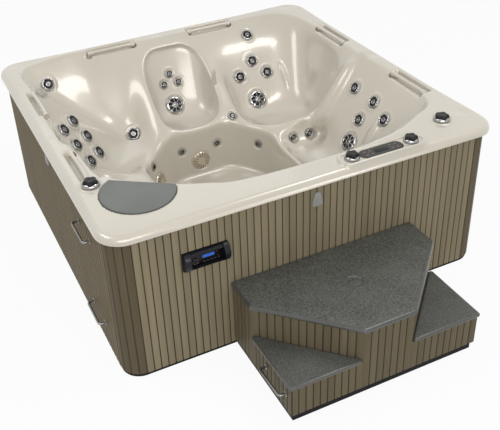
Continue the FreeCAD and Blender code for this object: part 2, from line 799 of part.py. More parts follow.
foot_radius, foot_barrel, foot_nozzle = JET_SIZES["small"]
foot_tube = foot_barrel + RUN_CLEARANCE + JET_BODY_WALL - SEAT_CLEARANCE
foot_jet = revolved(
    [
        (foot_nozzle, -JET_BODY_LENGTH),
        (foot_tube, -JET_BODY_LENGTH),
        (foot_tube, -JET_SPOT),
        (foot_radius, -JET_SPOT),
        (foot_radius, 1.0),
        (0.8 * foot_radius, 5.0),
        (0.55 * foot_radius, 5.0),
        (0.45 * foot_radius, 2.0),
        (foot_nozzle, 2.0),
    ]
)
feet = [placed(foot_jet, jet_places[name][0], jet_places[name][1]) for name in FOOT_JETS]
Part.makeCompound(feet).exportStep("parts/foot_jets.step")

# Suction grilles: a dished cover with a ring of slots between radial ribs
grille = revolved(
    [
        (0, -JET_SPOT),
        (SUCTION_RADIUS, -JET_SPOT),
        (SUCTION_RADIUS, 2.0),
        (0.86 * SUCTION_RADIUS, 0.7 * SUCTION_HEIGHT),
        (0.60 * SUCTION_RADIUS, SUCTION_HEIGHT),
        (0, SUCTION_HEIGHT),
    ]
)
slots = []
for index in range(SUCTION_RIBS):
    slot = Part.makeBox(0.42 * SUCTION_RADIUS, 7.0, SUCTION_HEIGHT, vec(0.45 * SUCTION_RADIUS, -3.5, 4.0))
    slot.rotate(ORIGIN, UP, 360.0 * index / SUCTION_RIBS)
    slots.append(slot)
grille = grille.cut(slots)
grilles = []
for cup_name, wall, along, rise in SUCTIONS.values():
    point, inward = wall_place(cup_name, wall, along, rise)
    grilles.append(placed(grille, point, inward))
Part.makeCompound(grilles).exportStep("parts/suction_grilles.step")

# Control panel with a display window and two blocks of sealed keys
panel_base = POD_TOP - PANEL_SINK
panel_top = panel_base + PANEL_HEIGHT
panel = panel_prism(0.0, panel_base, panel_top)
panel = panel.makeFillet(2.5, edges_at(panel, panel_top))
window = Part.makeBox(84.0, 38.0, 4.0, vec(panel_x - 42.0, panel_y - 19.0, panel_top - 1.2))
panel = panel.cut(window)
keys = []
for side in (-1, 1):
    for column in (0, 1):
        for row in (-1, 1):
            key_x = panel_x + side * (64.0 + 33.0 * column)
            key = cylinder(11.0, panel_top - 1.0, panel_top + 1.0)
            keys.append(key.translated(vec(key_x, panel_y + row * 17.0, 0)))
panel = panel.fuse(keys)
panel.exportStep("parts/control_panel.step")

# Rim knobs: a valve in each hole and a scalloped cap that turns on it
valve = revolved(
    [
        (KNOB_STEM + RUN_CLEARANCE, VALVE_FLANGE),
        (KNOB_RADIUS - 3, VALVE_FLANGE),
        (KNOB_RADIUS - 3, 0),
        (VALVE_RADIUS - SEAT_CLEARANCE, 0),
        (VALVE_RADIUS - SEAT_CLEARANCE, -VALVE_DEPTH),
        (0, -VALVE_DEPTH),
        (0, -VALVE_DEPTH + VALVE_WALL),
        (KNOB_STEM + RUN_CLEARANCE, -VALVE_DEPTH + VALVE_WALL),
    ]
)
knob_base = VALVE_FLANGE + RUN_CLEARANCE
knob_top = knob_base + KNOB_HEIGHT
knob = revolved(
    [
        (0, knob_base - VALVE_DEPTH * 0.7),
        (KNOB_STEM, knob_base - VALVE_DEPTH * 0.7),
        (KNOB_STEM, knob_base),
        (KNOB_RADIUS, knob_base),
        (KNOB_RADIUS, knob_base + 3),
        (0.90 * KNOB_RADIUS, knob_base + 9),
        (0.84 * KNOB_RADIUS, knob_base + 12),
        (0.80 * KNOB_RADIUS, knob_top - 4),
        (0.70 * KNOB_RADIUS, knob_top - 1),
        (0.5 * KNOB_RADIUS, knob_top),
        (0, knob_top),
    ]
)
grips = []
for index in range(5):
    grip = cylinder(0.30 * KNOB_RADIUS, knob_base + 10, knob_top + 1)
    grip = grip.translated(vec(0.98 * KNOB_RADIUS, 0, 0))
    grip.rotate(ORIGIN, UP, 72.0 * index)
    grips.append(grip)
knob = knob.cut(grips)
valves = []
for knob_name, (x, y, z) in KNOBS.items():
    knob.translated(vec(x, y, z)).exportStep("parts/" + knob_name + ".step")
    valves.append(valve.translated(vec(x, y, z)))
Part.makeCompound(valves).exportStep("parts/valve_bodies.step")

# Filter lid, the well under it and the pleated cartridge in the well
lid_disc = chord_disc(LID_RADIUS, LID_CHORD, lid_floor, lid_floor + LID_THICKNESS)
lid_disc = lid_disc.makeFillet(5.0, edges_at(lid_disc, lid_floor + LID_THICKNESS))
corner_placed(lid_disc).exportStep("parts/filter_lid.step")
well_bottom = lid_floor - WELL_DEPTH
well = chord_disc(WELL_RADIUS, WELL_CHORD, well_bottom, lid_floor)
well = well.fuse(chord_disc(WELL_RADIUS + 12.0, WELL_CHORD + 9.0, RIM_UNDER - 6.0, RIM_UNDER))
duct = Part.makeBox(
    DUCT_LENGTH,
    MOUTH_WIDTH + 2 * WELL_WALL,
    MOUTH_HEIGHT + 2 * WELL_WALL,
    vec(WELL_CHORD - WELL_WALL, -MOUTH_WIDTH / 2 - WELL_WALL, mouth_low - WELL_WALL),
)
well = well.fuse(duct)
well_inside, chord_inside = WELL_RADIUS - WELL_WALL, WELL_CHORD - WELL_WALL
well = well.cut(chord_disc(well_inside, chord_inside, well_bottom + WELL_WALL, lid_floor))
well = corner_placed(well).cut([mouth, outer_cups[0]])
well = max(well.Solids, key=lambda solid: solid.Volume)
well.exportStep("parts/filter_well.step")
pleats = []
for index in range(2 * CARTRIDGE_PLEATS):
    pleat_radius = CARTRIDGE_RADIUS - 3 if index % 2 == 0 else CARTRIDGE_RADIUS - 18
    turn = math.pi * index / CARTRIDGE_PLEATS
    pleats.append((pleat_radius * math.cos(turn), pleat_radius * math.sin(turn)))
cartridge_low = well_bottom + WELL_WALL
cartridge_high = cartridge_low + CARTRIDGE_LENGTH
cartridge = polygon_prism(pleats, cartridge_low + CARTRIDGE_CAP, cartridge_high - CARTRIDGE_CAP)
cartridge = cartridge.fuse(
    [
        cylinder(CARTRIDGE_RADIUS, cartridge_low, cartridge_low + CARTRIDGE_CAP),
        cylinder(CARTRIDGE_RADIUS, cartridge_high - CARTRIDGE_CAP, cartridge_high),
    ]
)
cartridge = cartridge.cut(cylinder(CARTRIDGE_CORE, cartridge_low - 1, cartridge_high + 1))
corner_placed(cartridge.translated(vec(-CARTRIDGE_SHIFT, 0, 0))).exportStep("parts/filter_cartridge.step")


# Cabinet: slatted panels, faceted corner covers, base pan, frame and foam cradle
def slatted_wall(points, thickness, bottom, top):
    """A wall along an open outline, slatted on its outer side."""
    inner = []
    last = len(points) - 1
    normals = []
    for index in range(last):
        ax, ay = points[index]
        bx, by = points[index + 1]
        length = math.hypot(bx - ax, by - ay)
        normals.append(((by - ay) / length, -(bx - ax) / length))
    for index in range(last + 1):
        x, y = points[index]
        first = normals[max(0, index - 1)]
        second = normals[min(last - 1, index)]
        share = 1 + first[0] * second[0] + first[1] * second[1]
        shift_x, shift_y = (first[0] + second[0]) / share, (first[1] + second[1]) / share
        inner.append((x - thickness * shift_x, y - thickness * shift_y))
    return polygon_prism(slatted_path(points, SLAT_PITCH) + inner[::-1], bottom, top)


def side_panel(half_length, distance, quarter):
    points = [(-half_length, -distance), (half_length, -distance)]
    wall = slatted_wall(points, PANEL_THICKNESS, BASE_HEIGHT, PANEL_TOP)
    wall.rotate(ORIGIN, UP, 90.0 * quarter)
    return wall


flat_x = FACE_X - CABINET_CORNER
flat_y = FACE_Y - CABINET_CORNER
side_panel(flat_y, FACE_X, 1).exportStep("parts/right_panel.step")
side_panel(flat_x, FACE_Y, 2).exportStep("parts/back_panel.step")
side_panel(flat_y, FACE_X, 3).exportStep("parts/left_panel.step")
front_panel = side_panel(flat_x, FACE_Y, 0)


def corner_cover(sign_x, sign_y, start):
    outline = []
    facet = math.radians(90.0 / CORNER_FACETS)
    groove = GROOVE_WIDTH / 2 / CABINET_CORNER
    centre_x, centre_y = sign_x * flat_x, sign_y * flat_y
    for index in range(CORNER_FACETS + 1):
        turn = math.radians(start) + index * facet
        marks = [(0.0, CABINET_CORNER)]
        if 0 < index < CORNER_FACETS:
            deep = CABINET_CORNER - GROOVE_DEPTH
            marks = [(-groove, CABINET_CORNER), (0.0, deep), (groove, CABINET_CORNER)]
        for shift, radius in marks:
            angle = turn + shift
            outline.append((centre_x + radius * math.cos(angle), centre_y + radius * math.sin(angle)))
    for index in range(CORNER_FACETS, -1, -1):
        turn = math.radians(start) + index * facet
        radius = CABINET_CORNER - PANEL_THICKNESS
        outline.append((centre_x + radius * math.cos(turn), centre_y + radius * math.sin(turn)))
    return polygon_prism(outline, BASE_HEIGHT, PANEL_TOP)


covers = [
    corner_cover(1, -1, -90.0),
    corner_cover(1, 1, 0.0),
    corner_cover(-1, 1, 90.0),
    corner_cover(-1, -1, 180.0),
]
Part.makeCompound(covers).exportStep("parts/corner_covers.step")

base_x, base_y = FACE_X - BASE_INSET, FACE_Y - BASE_INSET
tray_floor = 6.0
tray_rim = 70.0
base = rounded_prism(rectangle(base_x, base_y), CABINET_CORNER - BASE_INSET, 0.0, BASE_HEIGHT)
tray = rounded_prism(rectangle(base_x - tray_rim, base_y - tray_rim), 60.0, tray_floor, BASE_HEIGHT + 5.0)
base = base.cut(tray)
base.exportStep("parts/base_pan.step")

frame_x, frame_y = FACE_X - PANEL_THICKNESS, FACE_Y - PANEL_THICKNESS
frame_corner = CABINET_CORNER - 4.0
rail_top = RIM_TOP - RAIL_DROP


def frame_ring(bottom, top):
    outside = rounded_prism(rectangle(frame_x, frame_y), frame_corner, bottom, top)
    inside = rectangle(frame_x - FRAME_DEPTH, frame_y - FRAME_DEPTH)
    return outside.cut(rounded_prism(inside, frame_corner - FRAME_DEPTH, bottom - 1, top + 1))


studs = []
for spot in (-STUD_SPREAD, 0.0, STUD_SPREAD):
    height = RIM_UNDER - BASE_HEIGHT
    for side in (-1, 1):
        edge_x = frame_x - FRAME_DEPTH if side > 0 else -frame_x
        edge_y = frame_y - FRAME_DEPTH if side > 0 else -frame_y
        low = spot - FRAME_WIDTH / 2
        studs.append(Part.makeBox(FRAME_DEPTH, FRAME_WIDTH, height, vec(edge_x, low, BASE_HEIGHT)))
        studs.append(Part.makeBox(FRAME_WIDTH, FRAME_DEPTH, height, vec(low, edge_y, BASE_HEIGHT)))
lower_ring = frame_ring(BASE_HEIGHT, BASE_HEIGHT + FRAME_WIDTH)
upper_ring = frame_ring(rail_top - FRAME_WIDTH, rail_top)
frame = lower_ring.fuse([upper_ring] + studs)
frame.exportStep("parts/support_frame.step")

footwell = CUPS["footwell"]
cradle_outline = moved_outline(footwell["points"], [-50.0] * len(footwell["points"]))
cradle = rounded_prism(cradle_outline, 60.0, tray_floor, footwell["floor"] - SHELL_WALL)
cradle.exportStep("parts/foam_cradle.step")

# Stereo in a cutout of the front panel, with a door that rolls up between its end caps
axis_y = -FACE_Y + 13.0
cap_radius = STEREO_DEPTH + 14.0
stereo_left = STEREO_X - STEREO_LENGTH / 2
stereo_right = STEREO_X + STEREO_LENGTH / 2
ACROSS = vec(1, 0, 0)


def drum(radius, left, right):
    return Part.makeCylinder(radius, right - left, vec(left, axis_y, STEREO_Z), ACROSS)


cut_margin = 15.0
cut_half = cap_radius - 1.7
rear_radius = cut_half - SEAT_CLEARANCE
inner_left, inner_right = stereo_left + STEREO_CAP, stereo_right - STEREO_CAP
cutout = Part.makeBox(
    STEREO_LENGTH - 2 * cut_margin,
    2 * PANEL_THICKNESS + 40.0,
    2 * cut_half,
    vec(stereo_left + cut_margin, -FACE_Y - 20.0, STEREO_Z - cut_half),
)
front_space = Part.makeBox(WIDTH, 200.0, 400.0, vec(-WIDTH, -FACE_Y - 200.0, STEREO_Z - 200.0))
caps = drum(cap_radius, stereo_left, inner_left).fuse(drum(cap_radius, inner_right, stereo_right))
caps = caps.common(front_space)
rear_left = drum(rear_radius, stereo_left + cut_margin + SEAT_CLEARANCE, inner_left)
rear_right = drum(rear_radius, inner_right, stereo_right - cut_margin - SEAT_CLEARANCE)
tub = drum(rear_radius, inner_left, inner_right).cut(drum(rear_radius - TUB_WALL, inner_left, inner_right))
tub = tub.cut(front_space)
chin_top = STEREO_Z - CHIN_DROP - PART_CLEARANCE
opening_length = inner_right - inner_left
chin_corner = vec(inner_left, axis_y - cap_radius, chin_top - 200.0)
chin_box = Part.makeBox(opening_length, 2 * cap_radius, 200.0, chin_corner)
chin = drum(rear_radius, inner_left, inner_right).common(chin_box)
housing = caps.fuse([rear_left, rear_right, tub, chin])
groove_reach = DOOR_TAB + RUN_CLEARANCE
groove_out = DOOR_RADIUS + DOOR_WALL / 2 + RUN_CLEARANCE
groove_in = DOOR_RADIUS - DOOR_WALL / 2 - RUN_CLEARANCE
grooves = []
for low, high in ((inner_left - groove_reach, inner_left), (inner_right, inner_right + groove_reach)):
    grooves.append(drum(groove_out, low, high).cut(drum(groove_in, low, high)))
housing = housing.cut(grooves)
housing.exportStep("parts/stereo_housing.step")
radio_front = axis_y - 26.0
radio_height = STEREO_Z + RADIO_RISE - chin_top
radio = Part.makeBox(opening_length, RADIO_DEPTH, radio_height, vec(inner_left, radio_front, chin_top))
screen = Part.makeBox(66.0, 4.0, 20.0, vec(STEREO_X - 22.0, radio_front - 2.0, STEREO_Z + 2.0))
dial_x, dial_z = inner_left + 30.0, STEREO_Z - 4.0
INTO_TUB = vec(0, 1, 0)
dial_hole = Part.makeCylinder(DIAL_STEM + RUN_CLEARANCE, 12.0, vec(dial_x, radio_front, dial_z), INTO_TUB)
radio = radio.cut([screen, dial_hole])
radio.exportStep("parts/stereo_radio.step")
dial_back = radio_front - RUN_CLEARANCE
dial_front = dial_back - DIAL_HEIGHT
dial = Part.makeCylinder(DIAL_RADIUS, DIAL_HEIGHT, vec(dial_x, dial_front, dial_z), INTO_TUB)
dial = dial.fuse(Part.makeCylinder(DIAL_STEM, 10.0, vec(dial_x, dial_back, dial_z), INTO_TUB))
dial = dial.cut(Part.makeCylinder(0.6 * DIAL_RADIUS, 2.0, vec(dial_x, dial_front, dial_z), INTO_TUB))
dial.exportStep("parts/stereo_dial.step")


def door_point(radius, turn):
    angle = math.radians(turn)
    return vec(inner_left - DOOR_TAB, axis_y - radius * math.cos(angle), STEREO_Z + radius * math.sin(angle))


door_out, door_in = DOOR_RADIUS + DOOR_WALL / 2, DOOR_RADIUS - DOOR_WALL / 2
door_middle = (DOOR_LOW + DOOR_HIGH) / 2
out_low, out_middle, out_high = [door_point(door_out, turn) for turn in (DOOR_LOW, door_middle, DOOR_HIGH)]
in_low, in_middle, in_high = [door_point(door_in, turn) for turn in (DOOR_LOW, door_middle, DOOR_HIGH)]
door_wire = Part.Wire(
    [
        Part.Arc(out_low, out_middle, out_high).toShape(),
        Part.makeLine(out_high, in_high),
        Part.Arc(in_high, in_middle, in_low).toShape(),
        Part.makeLine(in_low, out_low),
    ]
)
door = Part.Face(door_wire).extrude(vec(opening_length + 2 * DOOR_TAB, 0, 0))
door_lines = []
for index in range(DOOR_RIBS):
    turn = DOOR_LOW + (DOOR_HIGH - DOOR_LOW) * (index + 0.5) / DOOR_RIBS
    start = door_point(door_out, turn)
    start.x = inner_left
    door_lines.append(Part.makeCylinder(1.4, opening_length, start, ACROSS))
door = door.cut(door_lines)
door.exportStep("parts/stereo_door.step")

# Step: plinth, slatted walls, two corner treads and the top deck
step_front = -FACE_Y - STEP_LENGTH
side_y = -FACE_Y - STEP_SIDE
wall_top = DECK_TOP - DECK_THICKNESS
tread_under = TREAD_TOP - TREAD_THICKNESS
upper_path = [
    (STEP_LEFT, -FACE_Y),
    (STEP_LEFT, side_y),
    (STEP_FRONT_LEFT, step_front),
    (STEP_FRONT_RIGHT, step_front),
    (STEP_RIGHT, side_y),
    (STEP_RIGHT, -FACE_Y),
]
left_corner_path = [(STEP_LEFT, side_y), (STEP_LEFT, step_front), (STEP_FRONT_LEFT, step_front)]
right_corner_path = [(STEP_FRONT_RIGHT, step_front), (STEP_RIGHT, step_front), (STEP_RIGHT, side_y)]
walls = slatted_wall(upper_path, STEP_WALL, PLINTH_HEIGHT, wall_top)
walls = walls.fuse(
    [
        slatted_wall(left_corner_path, STEP_WALL, PLINTH_HEIGHT, tread_under),
        slatted_wall(right_corner_path, STEP_WALL, PLINTH_HEIGHT, tread_under),
    ]
)
walls.exportStep("parts/step_walls.step")


def step_rectangle(inset, back):
    return [
        (STEP_LEFT + inset, step_front + inset),
        (STEP_RIGHT - inset, step_front + inset),
        (STEP_RIGHT - inset, -FACE_Y - back),
        (STEP_LEFT + inset, -FACE_Y - back),
    ]


plinth_wall = 24.0
plinth_floor = 8.0
plinth = polygon_prism(step_rectangle(PLINTH_INSET, 0.0), 0.0, PLINTH_HEIGHT)
plinth_inside = step_rectangle(PLINTH_INSET + plinth_wall, plinth_wall)
plinth = plinth.cut(polygon_prism(plinth_inside, plinth_floor, PLINTH_HEIGHT + 1))
plinth.exportStep("parts/step_plinth.step")


def tread(points):
    outline = moved_outline(points, [NOSING, NOSING, 0.0])
    slab = rounded_prism(outline, 9.0, tread_under, TREAD_TOP)
    return slab.makeFillet(6.0, edges_at(slab, TREAD_TOP))


Part.makeCompound([tread(left_corner_path), tread(right_corner_path)]).exportStep("parts/step_treads.step")
deck_points = [
    (STEP_LEFT, side_y),
    (STEP_FRONT_LEFT, step_front),
    (STEP_FRONT_RIGHT, step_front),
    (STEP_RIGHT, side_y),
    (STEP_RIGHT, -FACE_Y - PART_CLEARANCE),
    (STEP_LEFT, -FACE_Y - PART_CLEARANCE),
]
deck_outline = moved_outline(deck_points, [NOSING, NOSING, NOSING, NOSING, 0.0, NOSING])
deck = rounded_prism(deck_outline, 18.0, wall_top, DECK_TOP)
deck = deck.makeFillet(8.0, edges_at(deck, DECK_TOP))
deck_dish = cylinder(DECK_DISH_RADIUS, DECK_TOP - DECK_DISH_DEPTH, DECK_TOP + 5.0)
deck = deck.cut(deck_dish.translated(vec(DECK_DISH_X, -FACE_Y - DECK_DISH_SETBACK, 0)))
deck.exportStep("parts/step_deck.step")

# Equipment inside the step
PUMP_X, PUMP_Y, PUMP_Z = 70.0, -FACE_Y - 350.0, 172.0
MOTOR_RADIUS, MOTOR_LENGTH = 75.0, 280.0
VOLUTE_RADIUS, VOLUTE_LENGTH = 95.0, 90.0
PIPE_RADIUS = 25.0
HEATER_RADIUS, HEATER_LENGTH = 38.0, 260.0
HEATER_Y, HEATER_Z = -FACE_Y - 110.0, 330.0
volute_x = PUMP_X - MOTOR_LENGTH / 2 - VOLUTE_LENGTH
motor = Part.makeCylinder(MOTOR_RADIUS, MOTOR_LENGTH, vec(PUMP_X - MOTOR_LENGTH / 2, PUMP_Y, PUMP_Z), ACROSS)
fins = []
for index in range(7):
    start = vec(PUMP_X - MOTOR_LENGTH / 2 + 40.0 + 28.0 * index, PUMP_Y, PUMP_Z)
    fins.append(Part.makeCylinder(MOTOR_RADIUS + 6.0, 10.0, start, ACROSS))
volute = Part.makeCylinder(VOLUTE_RADIUS, VOLUTE_LENGTH, vec(volute_x, PUMP_Y, PUMP_Z), ACROSS)
outlet_x = volute_x + VOLUTE_LENGTH / 2
outlet = Part.makeCylinder(PIPE_RADIUS + 8.0, VOLUTE_RADIUS + 22.0, vec(outlet_x, PUMP_Y, PUMP_Z), UP)
inlet = Part.makeCylinder(PIPE_RADIUS + 8.0, 32.0, vec(volute_x - 32.0, PUMP_Y, PUMP_Z), ACROSS)
foot = Part.makeBox(200.0, 130.0, PUMP_Z - plinth_floor, vec(PUMP_X - 90.0, PUMP_Y - 65.0, plinth_floor))
arch_height = PUMP_Z - plinth_floor - MOTOR_RADIUS - 20.0
arch = Part.makeBox(120.0, 140.0, arch_height, vec(PUMP_X - 50.0, PUMP_Y - 70.0, plinth_floor))
pump = motor.fuse(fins + [volute, outlet, inlet, foot.cut(arch)])
pump.exportStep("parts/pump.step")

heater_left = outlet_x + 60.0
heater = Part.makeCylinder(HEATER_RADIUS, HEATER_LENGTH, vec(heater_left, HEATER_Y, HEATER_Z), ACROSS)
saddles = []
saddle_height = HEATER_Z - plinth_floor
for left in (heater_left + 40.0, heater_left + HEATER_LENGTH - 60.0):
    saddles.append(Part.makeBox(20.0, 60.0, saddle_height, vec(left, HEATER_Y - 30.0, plinth_floor)))
    saddles.append(Part.makeCylinder(HEATER_RADIUS + 4.0, 20.0, vec(left, HEATER_Y, HEATER_Z), ACROSS))
for left in (heater_left, heater_left + HEATER_LENGTH - 14.0):
    saddles.append(Part.makeCylinder(HEATER_RADIUS + 10.0, 14.0, vec(left, HEATER_Y, HEATER_Z), ACROSS))
heater = heater.fuse(saddles)
heater.exportStep("parts/heater.step")

PACK_WIDTH, PACK_DEPTH, PACK_HEIGHT = 220.0, 110.0, 290.0
pack_x, pack_y = STEP_RIGHT - 60.0 - PACK_WIDTH, -FACE_Y - 50.0 - PACK_DEPTH
pack = Part.makeBox(PACK_WIDTH, PACK_DEPTH, PACK_HEIGHT, vec(pack_x, pack_y, plinth_floor))
pack = pack.makeFillet(10.0, [edge for edge in pack.Edges if edge.BoundBox.ZLength > 1.0])
ribs = []
for index in range(8):
    rib_corner = vec(pack_x + 20.0 + 24.0 * index, pack_y - 12.0, plinth_floor + 30.0)
    ribs.append(Part.makeBox(6.0, 12.0, PACK_HEIGHT - 60.0, rib_corner))
pack = pack.fuse(ribs)
pack.exportStep("parts/control_pack.step")


def pipe_run(points):
    """A pipe along straight runs with ball corners."""
    runs = []
    for index in range(len(points) - 1):
        start = vec(*points[index])
        run = vec(*points[index + 1]).sub(start)
        runs.append(Part.makeCylinder(PIPE_RADIUS, run.Length, start, run))
        if index > 0:
            runs.append(Part.makeSphere(PIPE_RADIUS, start))
    return runs[0].fuse(runs[1:])


suction_x = volute_x - 32.0 - 60.0
return_x = heater_left + HEATER_LENGTH + 60.0
suction_run = pipe_run(
    [(volute_x - 32.0, PUMP_Y, PUMP_Z), (suction_x, PUMP_Y, PUMP_Z), (suction_x, -430.0, PUMP_Z)]
)
feed_run = pipe_run(
    [
        (outlet_x, PUMP_Y, PUMP_Z + VOLUTE_RADIUS + 22.0),
        (outlet_x, PUMP_Y, HEATER_Z),
        (outlet_x, HEATER_Y, HEATER_Z),
        (heater_left, HEATER_Y, HEATER_Z),
    ]
)
heater_right = heater_left + HEATER_LENGTH
return_run = pipe_run(
    [(heater_right, HEATER_Y, HEATER_Z), (return_x, HEATER_Y, HEATER_Z), (return_x, -440.0, HEATER_Z)]
)
pipes = [suction_run.cut(outer_cups[1]), feed_run, return_run.cut(outer_cups[1])]
pipes = [max(pipe.Solids, key=lambda solid: solid.Volume) for pipe in pipes]
Part.makeCompound(pipes).exportStep("parts/pipework.step")
pipe_holes = []
for x, z in ((suction_x, PUMP_Z), (return_x, HEATER_Z)):
    hole_start = vec(x, -FACE_Y - 40.0, z)
    pipe_holes.append(Part.makeCylinder(PIPE_RADIUS + PART_CLEARANCE, 80.0, hole_start, INTO_TUB))
front_panel = front_panel.cut([cutout] + pipe_holes)
front_panel.exportStep("parts/front_panel.step")


# Cover clips on the four faces and steel lift handles
def clip_at(distance, quarter):
    half, top_half = CLIP_WIDTH / 2, CLIP_TOP_WIDTH / 2
    corners = [
        vec(-half, -distance, CLIP_BOTTOM),
        vec(half, -distance, CLIP_BOTTOM),
        vec(top_half, -distance, CLIP_BOTTOM + CLIP_HEIGHT),
        vec(-top_half, -distance, CLIP_BOTTOM + CLIP_HEIGHT),
    ]
    plate = Part.Face(Part.makePolygon(corners + corners[:1])).extrude(vec(0, -CLIP_THICKNESS, 0))
    front_edges = [edge for edge in plate.Edges if edge.BoundBox.YMax < -distance - CLIP_THICKNESS + 0.01]
    plate = plate.makeFillet(3.0, front_edges)
    slot_corner = vec(-0.4 * CLIP_TOP_WIDTH, -distance - CLIP_THICKNESS - 1.0, CLIP_BOTTOM + 18.0)
    plate = plate.cut(Part.makeBox(0.8 * CLIP_TOP_WIDTH, 6.0, 8.0, slot_corner))
    plate.rotate(ORIGIN, UP, 90.0 * quarter)
    return plate


clips = [clip_at(FACE_Y, 0), clip_at(FACE_X, 1), clip_at(FACE_Y, 2), clip_at(FACE_X, 3)]
Part.makeCompound(clips).exportStep("parts/cover_clips.step")


def handle_at(face_x, centre_y, z):
    """A straight bar along Y on two posts that stand out to the left of a face."""
    out = vec(-1, 0, 0)
    half = HANDLE_LENGTH / 2 - HANDLE_FOOT
    bar = Part.makeCylinder(HANDLE_BAR, 2 * half, vec(face_x - HANDLE_REACH, centre_y - half, z), INTO_TUB)
    pieces = []
    for side in (-1, 1):
        y = centre_y + side * half
        pieces.append(Part.makeCylinder(HANDLE_BAR, HANDLE_REACH, vec(face_x, y, z), out))
        pieces.append(Part.makeSphere(HANDLE_BAR, vec(face_x - HANDLE_REACH, y, z)))
        pieces.append(Part.makeCylinder(HANDLE_FOOT, 4.0, vec(face_x, y, z), out))
    return bar.fuse(pieces)


handles = [
    handle_at(-FACE_X, -680.0, 702.0),
    handle_at(-FACE_X, -740.0, 187.0),
    handle_at(STEP_LEFT, -FACE_Y - 480.0, 157.0),
]
Part.makeCompound(handles).exportStep("parts/carry_handles.step")
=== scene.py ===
import bpy
import math
import numpy as np
from mathutils import Matrix, Vector


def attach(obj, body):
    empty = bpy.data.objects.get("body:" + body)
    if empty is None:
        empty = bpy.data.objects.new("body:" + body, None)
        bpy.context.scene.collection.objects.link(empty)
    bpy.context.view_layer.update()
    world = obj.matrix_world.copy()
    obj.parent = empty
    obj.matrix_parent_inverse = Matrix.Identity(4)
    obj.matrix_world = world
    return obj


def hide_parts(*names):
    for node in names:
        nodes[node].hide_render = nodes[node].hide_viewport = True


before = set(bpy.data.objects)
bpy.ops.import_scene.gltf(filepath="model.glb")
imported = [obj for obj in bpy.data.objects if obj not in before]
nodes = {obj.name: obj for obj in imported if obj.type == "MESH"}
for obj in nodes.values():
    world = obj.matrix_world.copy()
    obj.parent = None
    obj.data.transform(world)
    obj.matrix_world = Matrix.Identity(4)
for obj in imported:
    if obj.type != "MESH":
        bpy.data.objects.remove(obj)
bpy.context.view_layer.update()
rng = np.random.default_rng(7)

# Sizes shared with the part, in metres
HALF = 1.180
RIM_TOP = 0.940
SKIRT_BOTTOM = 0.894
LIP_STEP = 0.018
FACE = 1.149
OPEN_FRONT, OPEN_RIGHT, OPEN_BACK, OPEN_LEFT = -0.990, 1.065, 1.065, -1.045
CORNER_RUN = (OPEN_LEFT, OPEN_FRONT + 0.397)
CORNER_END = (OPEN_LEFT + 0.552, OPEN_FRONT)
LID_CENTRE = (OPEN_LEFT + 0.175, OPEN_FRONT + 0.170)
LID_RADIUS, LID_CHORD, LID_SINK, LID_RISE = 0.200, 0.084, 0.008, 0.010
WELL_RADIUS, WELL_CHORD, WELL_HOLE = 0.151, 0.053, 0.060
POD_CENTRE, POD_HALF = (0.434, -1.097), (0.270, 0.063)
POD_TOP = 0.952
RAIL_LENGTH, RAIL_SETBACK, RAIL_RECESS, RAIL_RADIUS = 0.350, 0.015, 0.054, 0.014
RAIL_Z = RIM_TOP - 0.016

# Cups of the shell: reference height, floor, plan outline at the reference height, outward lean of each wall,
# corner rounding and floor rounding
CUPS = {
    "basin": (0.940, 0.455, [CORNER_END, (0.740, OPEN_FRONT), (OPEN_RIGHT, -0.730), (OPEN_RIGHT, OPEN_BACK),
                             (OPEN_LEFT, OPEN_BACK), CORNER_RUN],
              [0.90, 1.10, 1.10, 1.33, 0.90, 0.75], 0.20, 0.10),
    "footwell": (0.100, 0.100, [(0.410, -0.300), (0.410, 0.196), (0.236, 0.425), (-0.215, 0.425),
                                (-0.460, 0.180), (-0.460, -0.280), (-0.320, -0.430), (0.270, -0.430)],
                 [0.05, 0.05, 0.06, 0.20, 0.12, 0.20, 0.20, 0.15], 0.09, 0.07),
    "middle_seat": (0.410, 0.410, [(0.205, 0.505), (0.205, 0.770), (-0.245, 0.770), (-0.245, 0.505)],
                    [0.12, 0.55, 0.0, 0.60], 0.20, 0.10),
    "corner_seat": (0.410, 0.395, [(0.550, 0.215), (0.800, 0.215), (0.890, 0.300), (0.890, 0.604),
                                   (0.330, 0.604), (0.330, 0.375)],
                    [0.60, 0.50, 0.30, 0.70, 0.12, 0.50], [0.12, 0.12, 0.20, 0.24, 0.16, 0.12], 0.09),
    "right_seat": (0.360, 0.360, [(0.455, -0.620), (0.658, -0.620), (0.658, 0.105), (0.455, 0.105)],
                   [0.30, 0.67, 0.25, 0.40], 0.11, 0.08),
    "left_seat": (0.410, 0.410, [(-0.500, 0.220), (-0.340, 0.395), (-0.390, 0.620), (-0.463, 0.650),
                                 (-0.753, 0.200), (-0.620, 0.170)],
                  [0.50, 0.30, 0.60, 0.814, 0.60, 0.50], 0.13, 0.10),
    "left_corner": (0.430, 0.430, [(-0.400, 0.600), (-0.400, 0.750), (-0.640, 0.750), (-0.570, 0.640)],
                    [0.34, 0.50, 0.55, 0.50], 0.20, 0.08),
    "left_bench": (0.470, 0.460, [(-0.880, -0.420), (-0.520, -0.420), (-0.520, 0.120), (-0.880, 0.120)],
                   [0.30, 0.30, 0.30, 0.25], 0.12, 0.07),
    "front_seat": (0.420, 0.420, [(-0.360, -0.800), (0.360, -0.800), (0.360, -0.540), (-0.360, -0.540)],
                   [0.30, 0.20, 0.40, 0.20], 0.12, 0.08),
}
THROAT = (RIM_TOP, -1.0, CUPS["basin"][2], [0.15] * 6, 0.16, 0.05)

